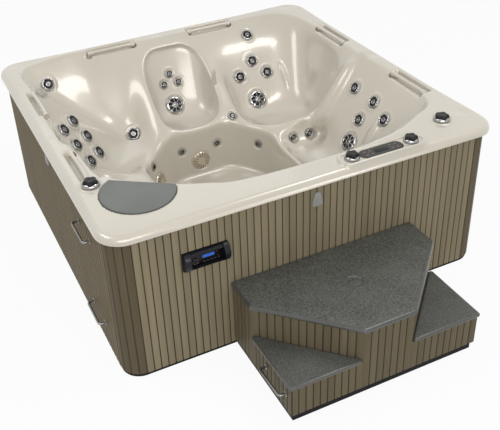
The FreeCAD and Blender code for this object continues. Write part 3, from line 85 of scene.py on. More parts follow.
# Jets: cup, wall, place along and up the wall in millimetres, size
JETS = {
    "jet_middle_main": ("middle_seat", 1, 10, 100, "large"),
    "jet_corner_top": ("corner_seat", 3, 7, 357, "medium"),
    "jet_corner_left": ("corner_seat", 3, 136, 262, "medium"),
    "jet_corner_right": ("corner_seat", 3, -85, 250, "medium"),
    "jet_corner_main": ("corner_seat", 3, 50, 72, "large"),
    "jet_corner_neck": ("basin", 3, -627, -147, "medium"),
    "jet_corner_side": ("corner_seat", 1, 117, 267, "medium"),
    "jet_nose": ("basin", 3, -255, -752, "small"),
    "jet_right_back": ("right_seat", 1, 182, 490, "medium"),
    "jet_right_top": ("right_seat", 1, -46, 485, "medium"),
    "jet_right_middle": ("right_seat", 1, -9, 334, "medium"),
    "jet_right_front": ("right_seat", 1, -210, 428, "medium"),
    "jet_right_main": ("right_seat", 1, -33, 178, "large"),
    "jet_left_upper_right": ("left_seat", 3, 56, 409, "back"),
    "jet_left_middle_right": ("left_seat", 3, 69, 277, "back"),
    "jet_left_lower_right": ("left_seat", 3, 108, 152, "back"),
    "jet_left_upper_left": ("left_seat", 3, 206, 429, "back"),
    "jet_left_middle_left": ("left_seat", 3, 228, 306, "back"),
    "jet_left_lower_left": ("left_seat", 3, 250, 172, "back"),
    "jet_left_side": ("left_seat", 2, 0, 40, "medium"),
    "jet_left_neck": ("left_corner", 1, 372, 442, "medium"),
}
MINI_JETS = [("middle_seat", 1, -5, 328), ("middle_seat", 1, 53, 259), ("middle_seat", 1, -57, 257),
             ("right_seat", 2, -6, 44), ("right_seat", 2, -133, 40)]
FOOT_JETS = [("footwell", 2, 158, 226), ("footwell", 2, -112, 222), ("footwell", 1, -57, 226),
             ("footwell", 3, 49, 258)]
SUCTIONS = [("footwell", 2, 22, 123), ("footwell", 3, 21, 122)]
JET_RADIUS = {"large": 0.065, "medium": 0.044, "back": 0.046, "small": 0.029}
NOZZLE_RADIUS = {"large": 0.017, "medium": 0.011, "back": 0.012, "small": 0.007}
BEZEL_SHARE = {"large": 0.78, "medium": 0.80, "back": 0.86, "small": 0.74}
SUCTION_RADIUS = 0.066
KNOBS = {
    "knob_jets": (0.244, -1.097, POD_TOP),
    "knob_waterfall": (0.622, -1.097, POD_TOP),
    "knob_air_right": (0.931, -0.968, RIM_TOP),
    "knob_air_left": (-1.065, -0.640, RIM_TOP),
}
DISHES = [(OPEN_LEFT - 0.020, OPEN_BACK + 0.045), (OPEN_RIGHT - 0.015, OPEN_BACK + 0.050),
          (OPEN_RIGHT + 0.022, OPEN_FRONT + 0.045), (0.0, OPEN_BACK + 0.050), (OPEN_RIGHT + 0.050, 0.0),
          (OPEN_LEFT - 0.055, 0.010)]
RAILS = [("back", -0.380), ("back", 0.380), ("right", 0.470), ("right", -0.455), ("left", 0.465),
         ("left", -0.400)]

# Fins: cup, wall, place in millimetres, half width, half length, height, blend into the wall
FINS = [("corner_seat", 3, -205.0, 165.0, 0.026, 0.140, 0.040, 0.014),
        ("right_seat", 1, -186.0, 300.0, 0.042, 0.130, 0.020, 0.014),
        ("middle_seat", 0, 60.0, 215.0, 0.022, 0.150, 0.016, 0.014),
        ("right_seat", 1, 345.0, 370.0, 0.040, 0.240, 0.030, 0.060)]

# Rounds and blends of the moulded shell
RIM_CORNER, RIM_ROLL, CORNER_ROLL = 0.145, 0.030, 0.038
ROLL_START, ROLL_SPAN = 0.55, 0.45
LIP_HEIGHT, LIP_ROLL, LIP_BLEND = 0.012, 0.008, 0.016
POD_CORNER, POD_ROLL, POD_BLEND = 0.059, 0.009, 0.014
THROAT_BLEND, LEFT_BLEND, EDGE_BLEND = 0.04, 0.12, 0.019
CROWN_X, CROWN_HALF, CROWN_TOP, CROWN_ROUND, CROWN_BLEND = 0.008, 0.253, 0.878, 0.170, 0.04
FOOTWELL_TOP, FOOTWELL_ROUND = 0.47, 0.01
BLENDS = {"left": 0.13, "right_seat": 0.06, "corner_seat": 0.036, "left_bench": 0.05, "front_seat": 0.05,
          "middle_seat": 0.024, "footwell": 0.06}
HOLLOW_DEPTH, HOLLOW_Y, HOLLOW_Z, HOLLOW_WIDTH, HOLLOW_HEIGHT = 0.095, 0.105, 0.385, 0.13, 0.10
HOLLOW_START, HOLLOW_SPAN = 0.50, 0.15
RECESS_INSIDE, RECESS_DEPTH, RECESS_BLEND = 0.06, 0.036, 0.009
RECESS_END_ROUND, RECESS_FRONT_ROUND, RECESS_FLOOR_ROUND = 0.020, 0.012, 0.022
PIT_RADIUS, PIT_INSET, PIT_OUT, PIT_DEPTH, PIT_BLEND = 0.021, 0.006, 0.004, 0.034, 0.004
DISH_RADIUS, DISH_RISE, DISH_BLEND = 0.195, 0.190, 0.006
PAN_RADIUS, PAN_DEPTH, PAN_BLEND = 0.056, 0.0005, 0.004
BOWL_RADIUS, BOWL_RISE = 0.2005, 0.200
RING_RADIUS, RING_THICKNESS, RING_BLEND = 0.062, 0.0045, 0.008
LID_CLEARANCE, LID_BLEND, WELL_BLEND, CHORD_BLEND = 0.002, 0.004, 0.002, 0.006
SPOT_MARGIN, SPOT_DEPTH, SPOT_HEIGHT, SPOT_BLEND, SPOT_REACH = 0.008, 0.0018, 0.045, 0.008, 0.06
BOSS_MARGIN, BOSS_ROUND, BOSS_BLEND = 0.016, 0.012, 0.014
FULL_STEP, QUICK_STEP = 0.008, 0.012
NET_LOW, NET_HIGH = (-1.2, -1.2, 0.07), (1.2, 1.2, 0.98)
SLOPE_STEP, NORMAL_STEP, LEAST_SLOPE = 0.0008, 0.0010, 0.05
SKIRT_INSIDE, SKIRT_EDGE, SKIRT_TRIM, WELL_MARGIN, WELL_LIP = 1.125, 1.130, 0.002, 0.004, 0.010


def side_of(points, index):
    """A side of a counter-clockwise outline: its two ends and its outward normal."""
    (ax, ay), (bx, by) = points[index], points[(index + 1) % len(points)]
    length = math.hypot(bx - ax, by - ay)
    return (ax, ay), (bx, by), ((by - ay) / length, -(bx - ax) / length)


def wall_place(cup_name, wall, along, rise):
    """A point on a cup's wall and the direction from it into the tub."""
    reference, floor, points, leans, corner, rounding = CUPS[cup_name]
    (ax, ay), (bx, by), (nx, ny) = side_of(points, wall)
    lean = leans[wall]
    scale = math.sqrt(1 + lean * lean)
    along, rise = along / 1000, rise / 1000
    point = Vector(((ax + bx) / 2 - ny * along + nx * lean / scale * rise,
                    (ay + by) / 2 + nx * along + ny * lean / scale * rise,
                    reference + rise / scale))
    return point, Vector((-nx / scale, -ny / scale, lean / scale))


SPOTS = [(*wall_place(*place[:4]), JET_RADIUS[place[4]]) for place in JETS.values()]
SPOTS += [(*wall_place(*place), JET_RADIUS["small"]) for place in MINI_JETS + FOOT_JETS]
SPOTS += [(*wall_place(*place), SUCTION_RADIUS) for place in SUCTIONS]


# Signed distances for the moulded shell
def smooth_max(a, b, k):
    h = np.maximum(1.0 - np.abs(a - b) / (1.5 * k), 0.0)
    return np.maximum(a, b) + h * h * h * k * 0.25


def smooth_min(a, b, k):
    return -smooth_max(-a, -b, k)


def cup_distance(p, cup):
    """Distance to a cup: leaning walls blended at its corners, and a floor."""
    reference, floor, points, leans, corner, rounding = cup
    distance = None
    rise = p[:, 2] - reference
    blends = corner if isinstance(corner, list) else [corner] * len(leans)
    for index, lean in enumerate(leans):
        (ax, ay), end, (nx, ny) = side_of(points, index)
        wall = (nx * (p[:, 0] - ax) + ny * (p[:, 1] - ay) - lean * rise) / math.sqrt(1 + lean * lean)
        distance = wall if distance is None else smooth_max(distance, wall, blends[index])
    return smooth_max(distance, floor - p[:, 2], rounding)


def round_slab(plan, height, radius):
    """Two distances met, with the edge between them rounded."""
    a, b = plan + radius, height + radius
    return np.hypot(np.maximum(a, 0), np.maximum(b, 0)) + np.minimum(np.maximum(a, b), 0) - radius


def round_rectangle(x, y, half_x, half_y, radius):
    return round_slab(np.abs(x) - half_x, np.abs(y) - half_y, radius)


def fin_distance(p, cup_name, wall, along, rise, half_width, half_length, height):
    """A long oval that stands half sunk in a cup's wall."""
    point, inward = wall_place(cup_name, wall, along, rise)
    above, same = wall_place(cup_name, wall, along, rise + 1000.0)
    up = above - point
    side = up.cross(inward)
    away = p - np.array(point)
    local = np.stack([away @ np.array(axis) for axis in (side, up, inward)], 1)
    sizes = np.array([half_width, half_length, height])
    near = np.maximum(np.linalg.norm(local / sizes, axis=1), 1e-6)
    return near * (near - 1) / np.maximum(np.linalg.norm(local / sizes ** 2, axis=1), 1e-6)


corner_run = Vector((CORNER_END[0] - CORNER_RUN[0], CORNER_END[1] - CORNER_RUN[1])).normalized()
corner_in = Vector((-corner_run.y, corner_run.x))


def corner_disc(x, y, radius, chord):
    """Plan distance to a disc at the lid's centre, cut straight on the side of the tub."""
    dx, dy = x - LID_CENTRE[0], y - LID_CENTRE[1]
    into = dx * corner_in.x + dy * corner_in.y
    return smooth_max(np.hypot(dx, dy) - radius, into - chord, CHORD_BLEND)


def rim_distance(x, y, z):
    """The rim, stepped along its sides and rolled at its corners."""
    inner = HALF - LIP_STEP
    outline = round_rectangle(x, y, HALF, HALF, RIM_CORNER)
    rim = round_slab(round_rectangle(x, y, inner, inner, RIM_CORNER - LIP_STEP), z - RIM_TOP, RIM_ROLL)
    lip = round_slab(outline, z - SKIRT_BOTTOM - LIP_HEIGHT, LIP_ROLL)
    stepped = smooth_min(rim, lip, LIP_BLEND)
    rolled = round_slab(outline, z - RIM_TOP, CORNER_ROLL)
    corner = np.clip((np.minimum(np.abs(x), np.abs(y)) - ROLL_START) / ROLL_SPAN, 0.0, 1.0)
    corner = corner * corner * (3 - 2 * corner)
    return stepped * (1 - corner) + rolled * corner


def calf_hollow(p):
    """How far the right seat's end wall is drawn in beside its small jets."""
    x, y, z = p.T
    spread = np.exp(-((y - HOLLOW_Y) / HOLLOW_WIDTH) ** 2 - ((z - HOLLOW_Z) / HOLLOW_HEIGHT) ** 2)
    depth = HOLLOW_DEPTH * spread * np.clip((x - HOLLOW_START) / HOLLOW_SPAN, 0, 1)
    return np.stack([depth, 0 * depth, 0 * depth], 1)


def seats_distance(p):
    """The open space of the basin, its seats and the footwell, blended one into the next."""
    x, y, z = p.T
    throat = cup_distance(p, THROAT)
    seats = {name: cup_distance(p, CUPS[name]) for name in ("corner_seat", "left_bench", "front_seat")}
    left = smooth_min(cup_distance(p, CUPS["left_seat"]), cup_distance(p, CUPS["left_corner"]), LEFT_BLEND)
    right = cup_distance(p - calf_hollow(p), CUPS["right_seat"])
    air = cup_distance(p, CUPS["basin"])
    for name, seat in {"left": left, "right_seat": right, **seats}.items():
        air = smooth_min(air, smooth_max(seat, throat, THROAT_BLEND), BLENDS[name])
    crown = round_slab(np.abs(x - CROWN_X) - CROWN_HALF, z - CROWN_TOP, CROWN_ROUND)
    middle = smooth_max(cup_distance(p, CUPS["middle_seat"]), throat, THROAT_BLEND)
    air = smooth_min(air, smooth_max(middle, crown, CROWN_BLEND), BLENDS["middle_seat"])
    foot = smooth_max(cup_distance(p, CUPS["footwell"]), z - FOOTWELL_TOP, FOOTWELL_ROUND)
    return smooth_min(air, foot, BLENDS["footwell"])


def rail_local(x, y, edge):
    """Place along a rim edge and distance out from the opening there."""
    if edge == "back":
        return x, y - OPEN_BACK
    if edge == "right":
        return y, x - OPEN_RIGHT
    return y, OPEN_LEFT - x


def with_rail_recesses(air, x, y, z):
    """Adds the space behind each grab rail, with a round pit at each end of the rail."""
    for edge, place in RAILS:
        along, out = rail_local(x, y, edge)
        past_end = np.abs(along - place) - RAIL_LENGTH / 2
        recess = smooth_max(past_end, out - RAIL_RECESS, RECESS_END_ROUND)
        recess = smooth_max(recess, -RECESS_INSIDE - out, RECESS_FRONT_ROUND)
        recess = smooth_max(recess, RIM_TOP - RECESS_DEPTH - z, RECESS_FLOOR_ROUND)
        air = smooth_min(air, recess, RECESS_BLEND)
        height = z - RIM_TOP + PIT_DEPTH
        pit = np.sqrt((past_end + PIT_INSET) ** 2 + (out - PIT_OUT) ** 2 + height ** 2) - PIT_RADIUS
        air = smooth_min(air, pit, PIT_BLEND)
    return air


def with_rim_dishes(solid, x, y, z):
    """Cuts the rim's dishes and the knobs' pans, and raises a ring round each knob on the rim."""
    for dish_x, dish_y in DISHES:
        away = np.hypot(x - dish_x, y - dish_y)
        bowl = np.sqrt(away * away + (z - RIM_TOP - DISH_RISE) ** 2) - DISH_RADIUS
        solid = smooth_max(solid, -bowl, DISH_BLEND)
    for knob_x, knob_y, knob_z in KNOBS.values():
        away = np.hypot(x - knob_x, y - knob_y)
        if knob_z == RIM_TOP:
            ring = np.hypot(away - RING_RADIUS, z - knob_z) - RING_THICKNESS
            solid = smooth_min(solid, ring, RING_BLEND)
        bowl = np.sqrt(away * away + (z - knob_z - BOWL_RISE) ** 2) - BOWL_RADIUS
        pan = np.maximum(away - PAN_RADIUS, knob_z - PAN_DEPTH - z)
        solid = smooth_max(solid, -np.maximum(pan, bowl), PAN_BLEND)
    return solid


def with_jet_seats(solid, x, y, z):
    """Gives each jet and suction a raised boss with a flat seat."""
    for point, axis, radius in SPOTS:
        dx, dy, dz = x - point.x, y - point.y, z - point.z
        near = np.flatnonzero(dx * dx + dy * dy + dz * dz < (radius + SPOT_REACH) ** 2)
        if len(near) == 0:
            continue
        height = dx[near] * axis.x + dy[near] * axis.y + dz[near] * axis.z
        away = np.sqrt(np.maximum(dx[near] ** 2 + dy[near] ** 2 + dz[near] ** 2 - height ** 2, 0))
        boss_height = np.maximum(height + SPOT_DEPTH, -SPOT_HEIGHT - height)
        boss = smooth_max(away - radius - BOSS_MARGIN, boss_height, BOSS_ROUND)
        seat = smooth_max(away - radius - SPOT_MARGIN, -SPOT_DEPTH - height, SPOT_BLEND)
        raised = smooth_min(solid[near], boss, BOSS_BLEND)
        solid[near] = smooth_max(raised, -np.maximum(seat, height - SPOT_HEIGHT), SPOT_BLEND)
    return solid


def shell_distance(p):
    """Signed distance to the moulded shell's upper side, negative in the acrylic."""
    x, y, z = p.T
    pod_plan = round_rectangle(x - POD_CENTRE[0], y - POD_CENTRE[1], *POD_HALF, POD_CORNER)
    solid = smooth_min(rim_distance(x, y, z), round_slab(pod_plan, z - POD_TOP, POD_ROLL), POD_BLEND)
    solid = smooth_max(solid, -with_rail_recesses(seats_distance(p), x, y, z), EDGE_BLEND)
    for *fin, blend in FINS:
        solid = smooth_min(solid, fin_distance(p, *fin), blend)
    solid = with_rim_dishes(solid, x, y, z)
    lid_plan = corner_disc(x, y, LID_RADIUS + LID_CLEARANCE, LID_CHORD + LID_CLEARANCE)
    solid = smooth_max(solid, -np.maximum(lid_plan, RIM_TOP - LID_SINK - z), LID_BLEND)
    well = np.maximum(corner_disc(x, y, WELL_RADIUS, WELL_CHORD), RIM_TOP - WELL_HOLE - z)
    solid = smooth_max(solid, -well, WELL_BLEND)
    return with_jet_seats(solid, x, y, z)


def surface_net(distance, low, high, step):
    """A mesh of quads on the zero surface of a distance, found on coarse blocks and then on fine points."""
    block = 4
    counts = [int(math.ceil((b - a) / step / block)) for a, b in zip(low, high)]
    centres = [a + step * block * (np.arange(n) + 0.5) for a, n in zip(low, counts)]
    grid = np.stack(np.meshgrid(*centres, indexing="ij"), -1).reshape(-1, 3)
    coarse = distance(grid).reshape(counts)
    field = np.repeat(np.repeat(np.repeat(coarse, block, 0), block, 1), block, 2)
    near = np.argwhere(np.abs(coarse) < step * block * 1.25)
    offsets = np.stack(np.meshgrid(*[np.arange(block)] * 3, indexing="ij"), -1).reshape(-1, 3)
    cells = (near[:, None, :] * block + offsets[None, :, :]).reshape(-1, 3)
    field[tuple(cells.T)] = distance(np.array(low) + step * cells)
    inside = field < 0
    shape = [n - 1 for n in field.shape]
    total = np.zeros(shape, np.int8)
    for i, j, k in offsets[(offsets < 2).all(1)]:
        total += inside[i:i + shape[0], j:j + shape[1], k:k + shape[2]]
    mixed = (total > 0) & (total < 8)
    index = np.full(shape, -1, np.int64)
    cells = np.argwhere(mixed)
    index[mixed] = np.arange(len(cells))
    quads = []
    for axis in range(3):
        first = [slice(1, size) for size in shape]
        first[axis] = slice(0, shape[axis])
        second = list(first)
        second[axis] = slice(1, shape[axis] + 1)
        crossing = inside[tuple(first)] != inside[tuple(second)]
        flip = inside[tuple(first)][crossing]
        spots = np.argwhere(crossing) + np.array([0 if other == axis else 1 for other in range(3)])
        corners = []
        for du, dv in ((0, 0), (-1, 0), (-1, -1), (0, -1)):
            corner = spots.copy()
            corner[:, (axis + 1) % 3] += du
            corner[:, (axis + 2) % 3] += dv
            corners.append(index[tuple(corner.T)])
        quad = np.stack(corners, 1)
        quad[~flip] = quad[~flip][:, ::-1]
        quads.append(quad)
    quads = np.concatenate(quads)
    quads = quads[(quads >= 0).all(1)]
    return np.array(low) + step * (cells + 0.5), quads


def gradient(distance, points, step):
    parts = []
    for axis in range(3):
        shift = np.zeros(3)
        shift[axis] = step
        parts.append((distance(points + shift) - distance(points - shift)) / (2 * step))
    return np.stack(parts, 1)


def shell_mesh(step):
    """The shell's corners, faces and normals, open under the skirt and over the filter well."""
    verts, quads = surface_net(shell_distance, NET_LOW, NET_HIGH, step)
    for _ in range(3):
        slope = gradient(shell_distance, verts, SLOPE_STEP)
        size = np.maximum((slope * slope).sum(1), LEAST_SLOPE)
        move = -(shell_distance(verts) / size)[:, None] * slope
        verts = verts + np.clip(move, -step, step)
    middles = verts[quads].mean(1)
    outer = np.maximum(np.abs(middles[:, 0]), np.abs(middles[:, 1])) > SKIRT_INSIDE
    keep = ~(outer & (middles[:, 2] < SKIRT_BOTTOM + SKIRT_TRIM))
    in_well = corner_disc(middles[:, 0], middles[:, 1], WELL_RADIUS, WELL_CHORD) < WELL_MARGIN
    keep &= ~(in_well & (middles[:, 2] < RIM_TOP - WELL_HOLE + WELL_LIP))
    used, quads = np.unique(quads[keep], return_inverse=True)
    verts, quads = verts[used], quads.reshape(-1, 4)
    outer = np.maximum(np.abs(verts[:, 0]), np.abs(verts[:, 1])) > SKIRT_EDGE
    low_edge = outer & (verts[:, 2] < SKIRT_BOTTOM + step)
    verts[low_edge, 2] = np.maximum(verts[low_edge, 2], SKIRT_BOTTOM)
    normals = gradient(shell_distance, verts, NORMAL_STEP)
    normals /= np.maximum(np.linalg.norm(normals, axis=1), 1e-6)[:, None]
    return verts, quads, normals


# Materials
def material(name):
    made = bpy.data.materials.new(name)
    made.use_nodes = True
    tree = made.node_tree
    return made, tree, tree.nodes["Principled BSDF"]


def feed(tree, target, inputs):
    """Sets inputs of a shader node, each to a value or to another node's output."""
    for key, value in inputs.items():
        if isinstance(value, bpy.types.NodeSocket):
            tree.links.new(value, target.inputs[key])
        else:
            target.inputs[key].default_value = value


def node(tree, kind, inputs=None, **settings):
    made = tree.nodes.new(kind)
    for key, value in settings.items():
        setattr(made, key, value)
    feed(tree, made, inputs or {})
    return made


def arithmetic(tree, operation, *values):
    return node(tree, "ShaderNodeMath", dict(enumerate(values)), operation=operation).outputs["Value"]


def noise(tree, scale, detail=3.0, stretch=(1, 1, 1)):
    """Noise over the object's own coordinates."""
    place = node(tree, "ShaderNodeTexCoord").outputs["Object"]
    spread = node(tree, "ShaderNodeMapping", {"Vector": place, "Scale": stretch}).outputs["Vector"]
    made = node(tree, "ShaderNodeTexNoise", {"Vector": spread, "Scale": scale, "Detail": detail})
    return made.outputs["Fac"]


def ramp(tree, value, dark, light, low=0.3, high=0.7):
    made = node(tree, "ShaderNodeValToRGB", {"Fac": value})
    first, second = made.color_ramp.elements
    first.position, first.color = low, (*dark, 1)
    second.position, second.color = high, (*light, 1)
    return made.outputs["Color"]


def greys(tree, value, low, high):
    return ramp(tree, value, (low,) * 3, (high,) * 3)


def bump(tree, value, strength, distance):
    inputs = {"Height": value, "Strength": strength, "Distance": distance}
    return node(tree, "ShaderNodeBump", inputs).outputs["Normal"]


def plastic(name, dark, light, rough, scale=60.0, strength=0.15, depth=0.0004, coat=0.0, metallic=0.0,
            specular=0.5):
    """A moulded or painted surface: a little colour change over the piece and a fine grain."""
    made, tree, shader = material(name)
    fine = noise(tree, scale, 2.0)
    feed(tree, shader, {
        "Base Color": ramp(tree, noise(tree, 4.0, 4.0), dark, light),
        "Roughness": greys(tree, fine, rough * 0.85, rough * 1.15),
        "Metallic": metallic, "Specular IOR Level": specular,
        "Coat Weight": coat, "Coat Roughness": 0.08,
        "Normal": bump(tree, fine, strength, depth)})
    return made


def pearl_acrylic():
    """Pale acrylic with fine flakes, paler where it is seen at a slant: partly the pearl's own shift of
    colour, partly a painted sheen.
    """
    made, tree, shader = material("pearl_acrylic")
    body = ramp(tree, noise(tree, 1.6, 4.0), (0.500, 0.462, 0.392), (0.550, 0.512, 0.438), 0.25, 0.75)
    # Towards a slant the colour is mixed to a paler tone: partly the pearl's own shift, partly painted sheen
    slant = node(tree, "ShaderNodeLayerWeight", {"Blend": 0.35}).outputs["Facing"]
    pale = (0.66, 0.625, 0.555, 1)
    mixed = node(tree, "ShaderNodeMix", {"Factor": slant, "A": body, "B": pale}, data_type="RGBA")
    feed(tree, shader, {
        "Base Color": mixed.outputs["Result"],
        "Roughness": greys(tree, noise(tree, 900.0, 1.0), 0.26, 0.36),
        "Metallic": 0.10, "Coat Weight": 1.0, "Coat Roughness": 0.10})
    return made


def slat_material(name, dark, light):
    """Extruded boards: a tone of their own, fine streaks along the grain and a slight emboss."""
    made, tree, shader = material(name)
    tone = node(tree, "ShaderNodeAttribute", attribute_name="tone").outputs["Fac"]
    streak = noise(tree, 26.0, 5.0, (1.0, 1.0, 0.05))
    grain = noise(tree, 160.0, 3.0, (1.0, 1.0, 0.06))
    mixed = arithmetic(tree, "MULTIPLY_ADD", streak, 0.5, tone)
    feed(tree, shader, {
        "Base Color": ramp(tree, mixed, dark, light, 0.35, 1.15),
        "Roughness": 0.45, "Specular IOR Level": 0.06,
        "Normal": bump(tree, grain, 0.25, 0.0006)})
    return made


def stipple_material():
    """Step tops: dark grey with a pebbled grain, its high spots painted paler as a highlight on the pebbles.
    """
    made, tree, shader = material("stippled_grey")
    grain = noise(tree, 170.0, 4.0)
    # The grain that raises the pebbles also lightens the colour on their high spots: painted highlight
    mixed = arithmetic(tree, "MULTIPLY_ADD", noise(tree, 5.0, 4.0), 0.20, grain)
    feed(tree, shader, {
        "Base Color": ramp(tree, mixed, (0.020, 0.021, 0.019), (0.142, 0.145, 0.132), 0.42, 0.80),
        "Roughness": 0.48,
        "Normal": bump(tree, grain, 0.55, 0.0012)})
    return made


def metal(name, colour, rough, stretch=(1, 1, 1)):
    made, tree, shader = material(name)
    fine = noise(tree, 220.0, 2.0, stretch)
    feed(tree, shader, {
        "Base Color": ramp(tree, fine, tuple(c * 0.9 for c in colour), colour),
        "Roughness": greys(tree, fine, rough * 0.7, rough * 1.3),
        "Metallic": 1.0})
    return made


def screen_material():
    """A lit blue display with plain level bars."""
    made, tree, shader = material("lit_display")
    place = node(tree, "ShaderNodeTexCoord").outputs["Object"]
    wave = node(tree, "ShaderNodeTexWave", {"Vector": place, "Scale": 45.0}, wave_type="BANDS",
                bands_direction="X").outputs["Fac"]
    feed(tree, shader, {
        "Base Color": (0.01, 0.05, 0.25, 1),
        "Emission Color": ramp(tree, wave, (0.01, 0.06, 0.50), (0.12, 0.36, 0.95), 0.45, 0.62),
        "Emission Strength": 0.40, "Roughness": 0.15})
    return made


PEARL = pearl_acrylic()
SLAT = slat_material("taupe_slats", (0.158, 0.133, 0.085), (0.290, 0.247, 0.164))
# The step's boards are a darker copy of the cabinet slats: painted shade on the step's walls
SLAT_STEP_SHADED = slat_material("step_slats_painted_shade", (0.090, 0.074, 0.046), (0.166, 0.139, 0.090))
# The corner facets' boards are a darker copy of the cabinet slats: painted shade on the turned facets
SLAT_CORNER_SHADED = slat_material("corner_slats", (0.074, 0.060, 0.037), (0.140, 0.114, 0.073))
# The left panel's boards are a darker copy of the cabinet slats: painted shade on the side turned from the
# light
SLAT_LEFT_SHADED = slat_material("left_slats_painted_shade", (0.082, 0.062, 0.027), (0.152, 0.116, 0.053))
GROOVE = plastic("groove_shadow", (0.054, 0.046, 0.033), (0.080, 0.068, 0.051), 0.8, specular=0.1)
STIPPLE = stipple_material()
NOSE = plastic("step_edge_grey", (0.050, 0.051, 0.048), (0.072, 0.073, 0.069), 0.30, scale=200.0, coat=0.35)
BLACK = plastic("matt_black", (0.008, 0.008, 0.009), (0.016, 0.016, 0.018), 0.5, specular=0.08)
GLOSS_BLACK = plastic("gloss_black", (0.003, 0.003, 0.0035), (0.006, 0.006, 0.007), 0.22, coat=0.05,
                      specular=0.22)
STEREO_BLACK = plastic("stereo_black", (0.005, 0.006, 0.009), (0.010, 0.012, 0.018), 0.30, coat=0.05,
                       specular=0.25)
# The chrome is given a dark colour: painted dark reflection, in place of dark surroundings for it to mirror
CHROME = metal("chrome", (0.36, 0.36, 0.36), 0.12)
STEEL = metal("brushed_steel", (0.26, 0.26, 0.25), 0.30, (1, 0.05, 1))
SLATE = plastic("slate_lid", (0.124, 0.134, 0.129), (0.152, 0.163, 0.157), 0.42, scale=500.0, strength=0.2)
CLIP = plastic("clip_grey", (0.25, 0.25, 0.24), (0.33, 0.33, 0.32), 0.35)
PANEL_GREY = plastic("panel_grey", (0.026, 0.026, 0.025), (0.044, 0.044, 0.042), 0.35, specular=0.25)
KEY_GREY = plastic("key_grey", (0.075, 0.075, 0.072), (0.11, 0.11, 0.105), 0.4)
FOOT_GREY = plastic("foot_jet_grey", (0.20, 0.20, 0.165), (0.28, 0.275, 0.235), 0.35)
TAUPE = plastic("grille_taupe", (0.36, 0.315, 0.235), (0.54, 0.485, 0.380), 0.22, coat=0.4, metallic=0.35)
PIPE = plastic("white_pipe", (0.68, 0.68, 0.66), (0.76, 0.76, 0.74), 0.35)
PAPER = plastic("filter_cloth", (0.66, 0.68, 0.70), (0.74, 0.76, 0.78), 0.9, scale=200.0)
FOAM = plastic("rigid_foam", (0.62, 0.57, 0.40), (0.72, 0.67, 0.50), 0.9, scale=120.0, strength=0.6,
               depth=0.002)
TIMBER = slat_material("frame_timber", (0.26, 0.17, 0.08), (0.48, 0.34, 0.18))
PUMP = plastic("pump_paint", (0.012, 0.012, 0.014), (0.024, 0.024, 0.026), 0.4)
PACK = plastic("pack_paint", (0.085, 0.090, 0.095), (0.115, 0.120, 0.125), 0.4)
LED = plastic("red_marker", (0.45, 0.04, 0.01), (0.6, 0.06, 0.015), 0.3)
SCREEN = screen_material()
for name, use in {"base_pan": BLACK, "step_plinth": BLACK, "support_frame": TIMBER, "foam_cradle": FOAM,
                  "jet_bodies": PIPE, "valve_bodies": BLACK, "filter_well": PIPE, "filter_cartridge": PAPER,
                  "pump": PUMP, "heater": STEEL, "control_pack": PACK, "pipework": PIPE}.items():
    nodes[name].data.materials.clear()
    nodes[name].data.materials.append(use)


# Mesh building helpers
def new_object(name, verts, faces, materials, face_materials=None):
    mesh = bpy.data.meshes.new(name)
    mesh.from_pydata([tuple(v) for v in verts], [], [tuple(f) for f in faces])
    for used in materials:
        mesh.materials.append(used)
    if face_materials is not None:
        mesh.polygons.foreach_set("material_index", np.asarray(face_materials, np.int32))
    mesh.polygons.foreach_set("use_smooth", np.full(len(mesh.polygons), True))
    mesh.update()
    obj = bpy.data.objects.new(name, mesh)
    bpy.context.scene.collection.objects.link(obj)
    return obj


def rounded_outline(points, radius, count=6):
    """A closed outline with each corner replaced by an arc."""
    found = []
    for index, (cx, cy) in enumerate(points):
        before, after = Vector(points[index - 1]), Vector(points[(index + 1) % len(points)])
        centre = Vector((cx, cy))
        a, b = (before - centre), (after - centre)
        half = a.angle(b) / 2
        reach = min(radius / math.tan(half), 0.48 * min(a.length, b.length))
        bow = reach * math.tan(half)
        middle = centre + (a.normalized() + b.normalized()).normalized() * (bow / math.sin(half))
        start, end = centre + a.normalized() * reach - middle, centre + b.normalized() * reach - middle
        sweep = start.angle_signed(end)
        for number in range(count + 1):
            turn = -sweep * number / count
            c, s = math.cos(turn), math.sin(turn)
            found.append((middle.x + start.x * c - start.y * s, middle.y + start.x * s + start.y * c))
    return found


def rounded_box(left, low, right, high, radius, count):
    return rounded_outline([(left, low), (right, low), (right, high), (left, high)], radius, count)


def moved_outline(points, shifts):
    """Moves each side of a counter-clockwise outline outwards by its own shift."""
    lines = []
    for index, shift in enumerate(shifts):
        (ax, ay), end, (nx, ny) = side_of(points, index)
        lines.append((nx, ny, nx * ax + ny * ay + shift))
    moved = []
    for (a1, b1, c1), (a2, b2, c2) in zip(lines[-1:] + lines[:-1], lines):
        cross = a1 * b2 - a2 * b1
        moved.append(((c1 * b2 - c2 * b1) / cross, (a1 * c2 - a2 * c1) / cross))
    return moved


def circle(count):
    return [2 * math.pi * index / count for index in range(count)]


def scaled(profile, radius):
    """A profile whose radii are given as shares of a radius."""
    return [(share * radius, height) for share, height in profile]


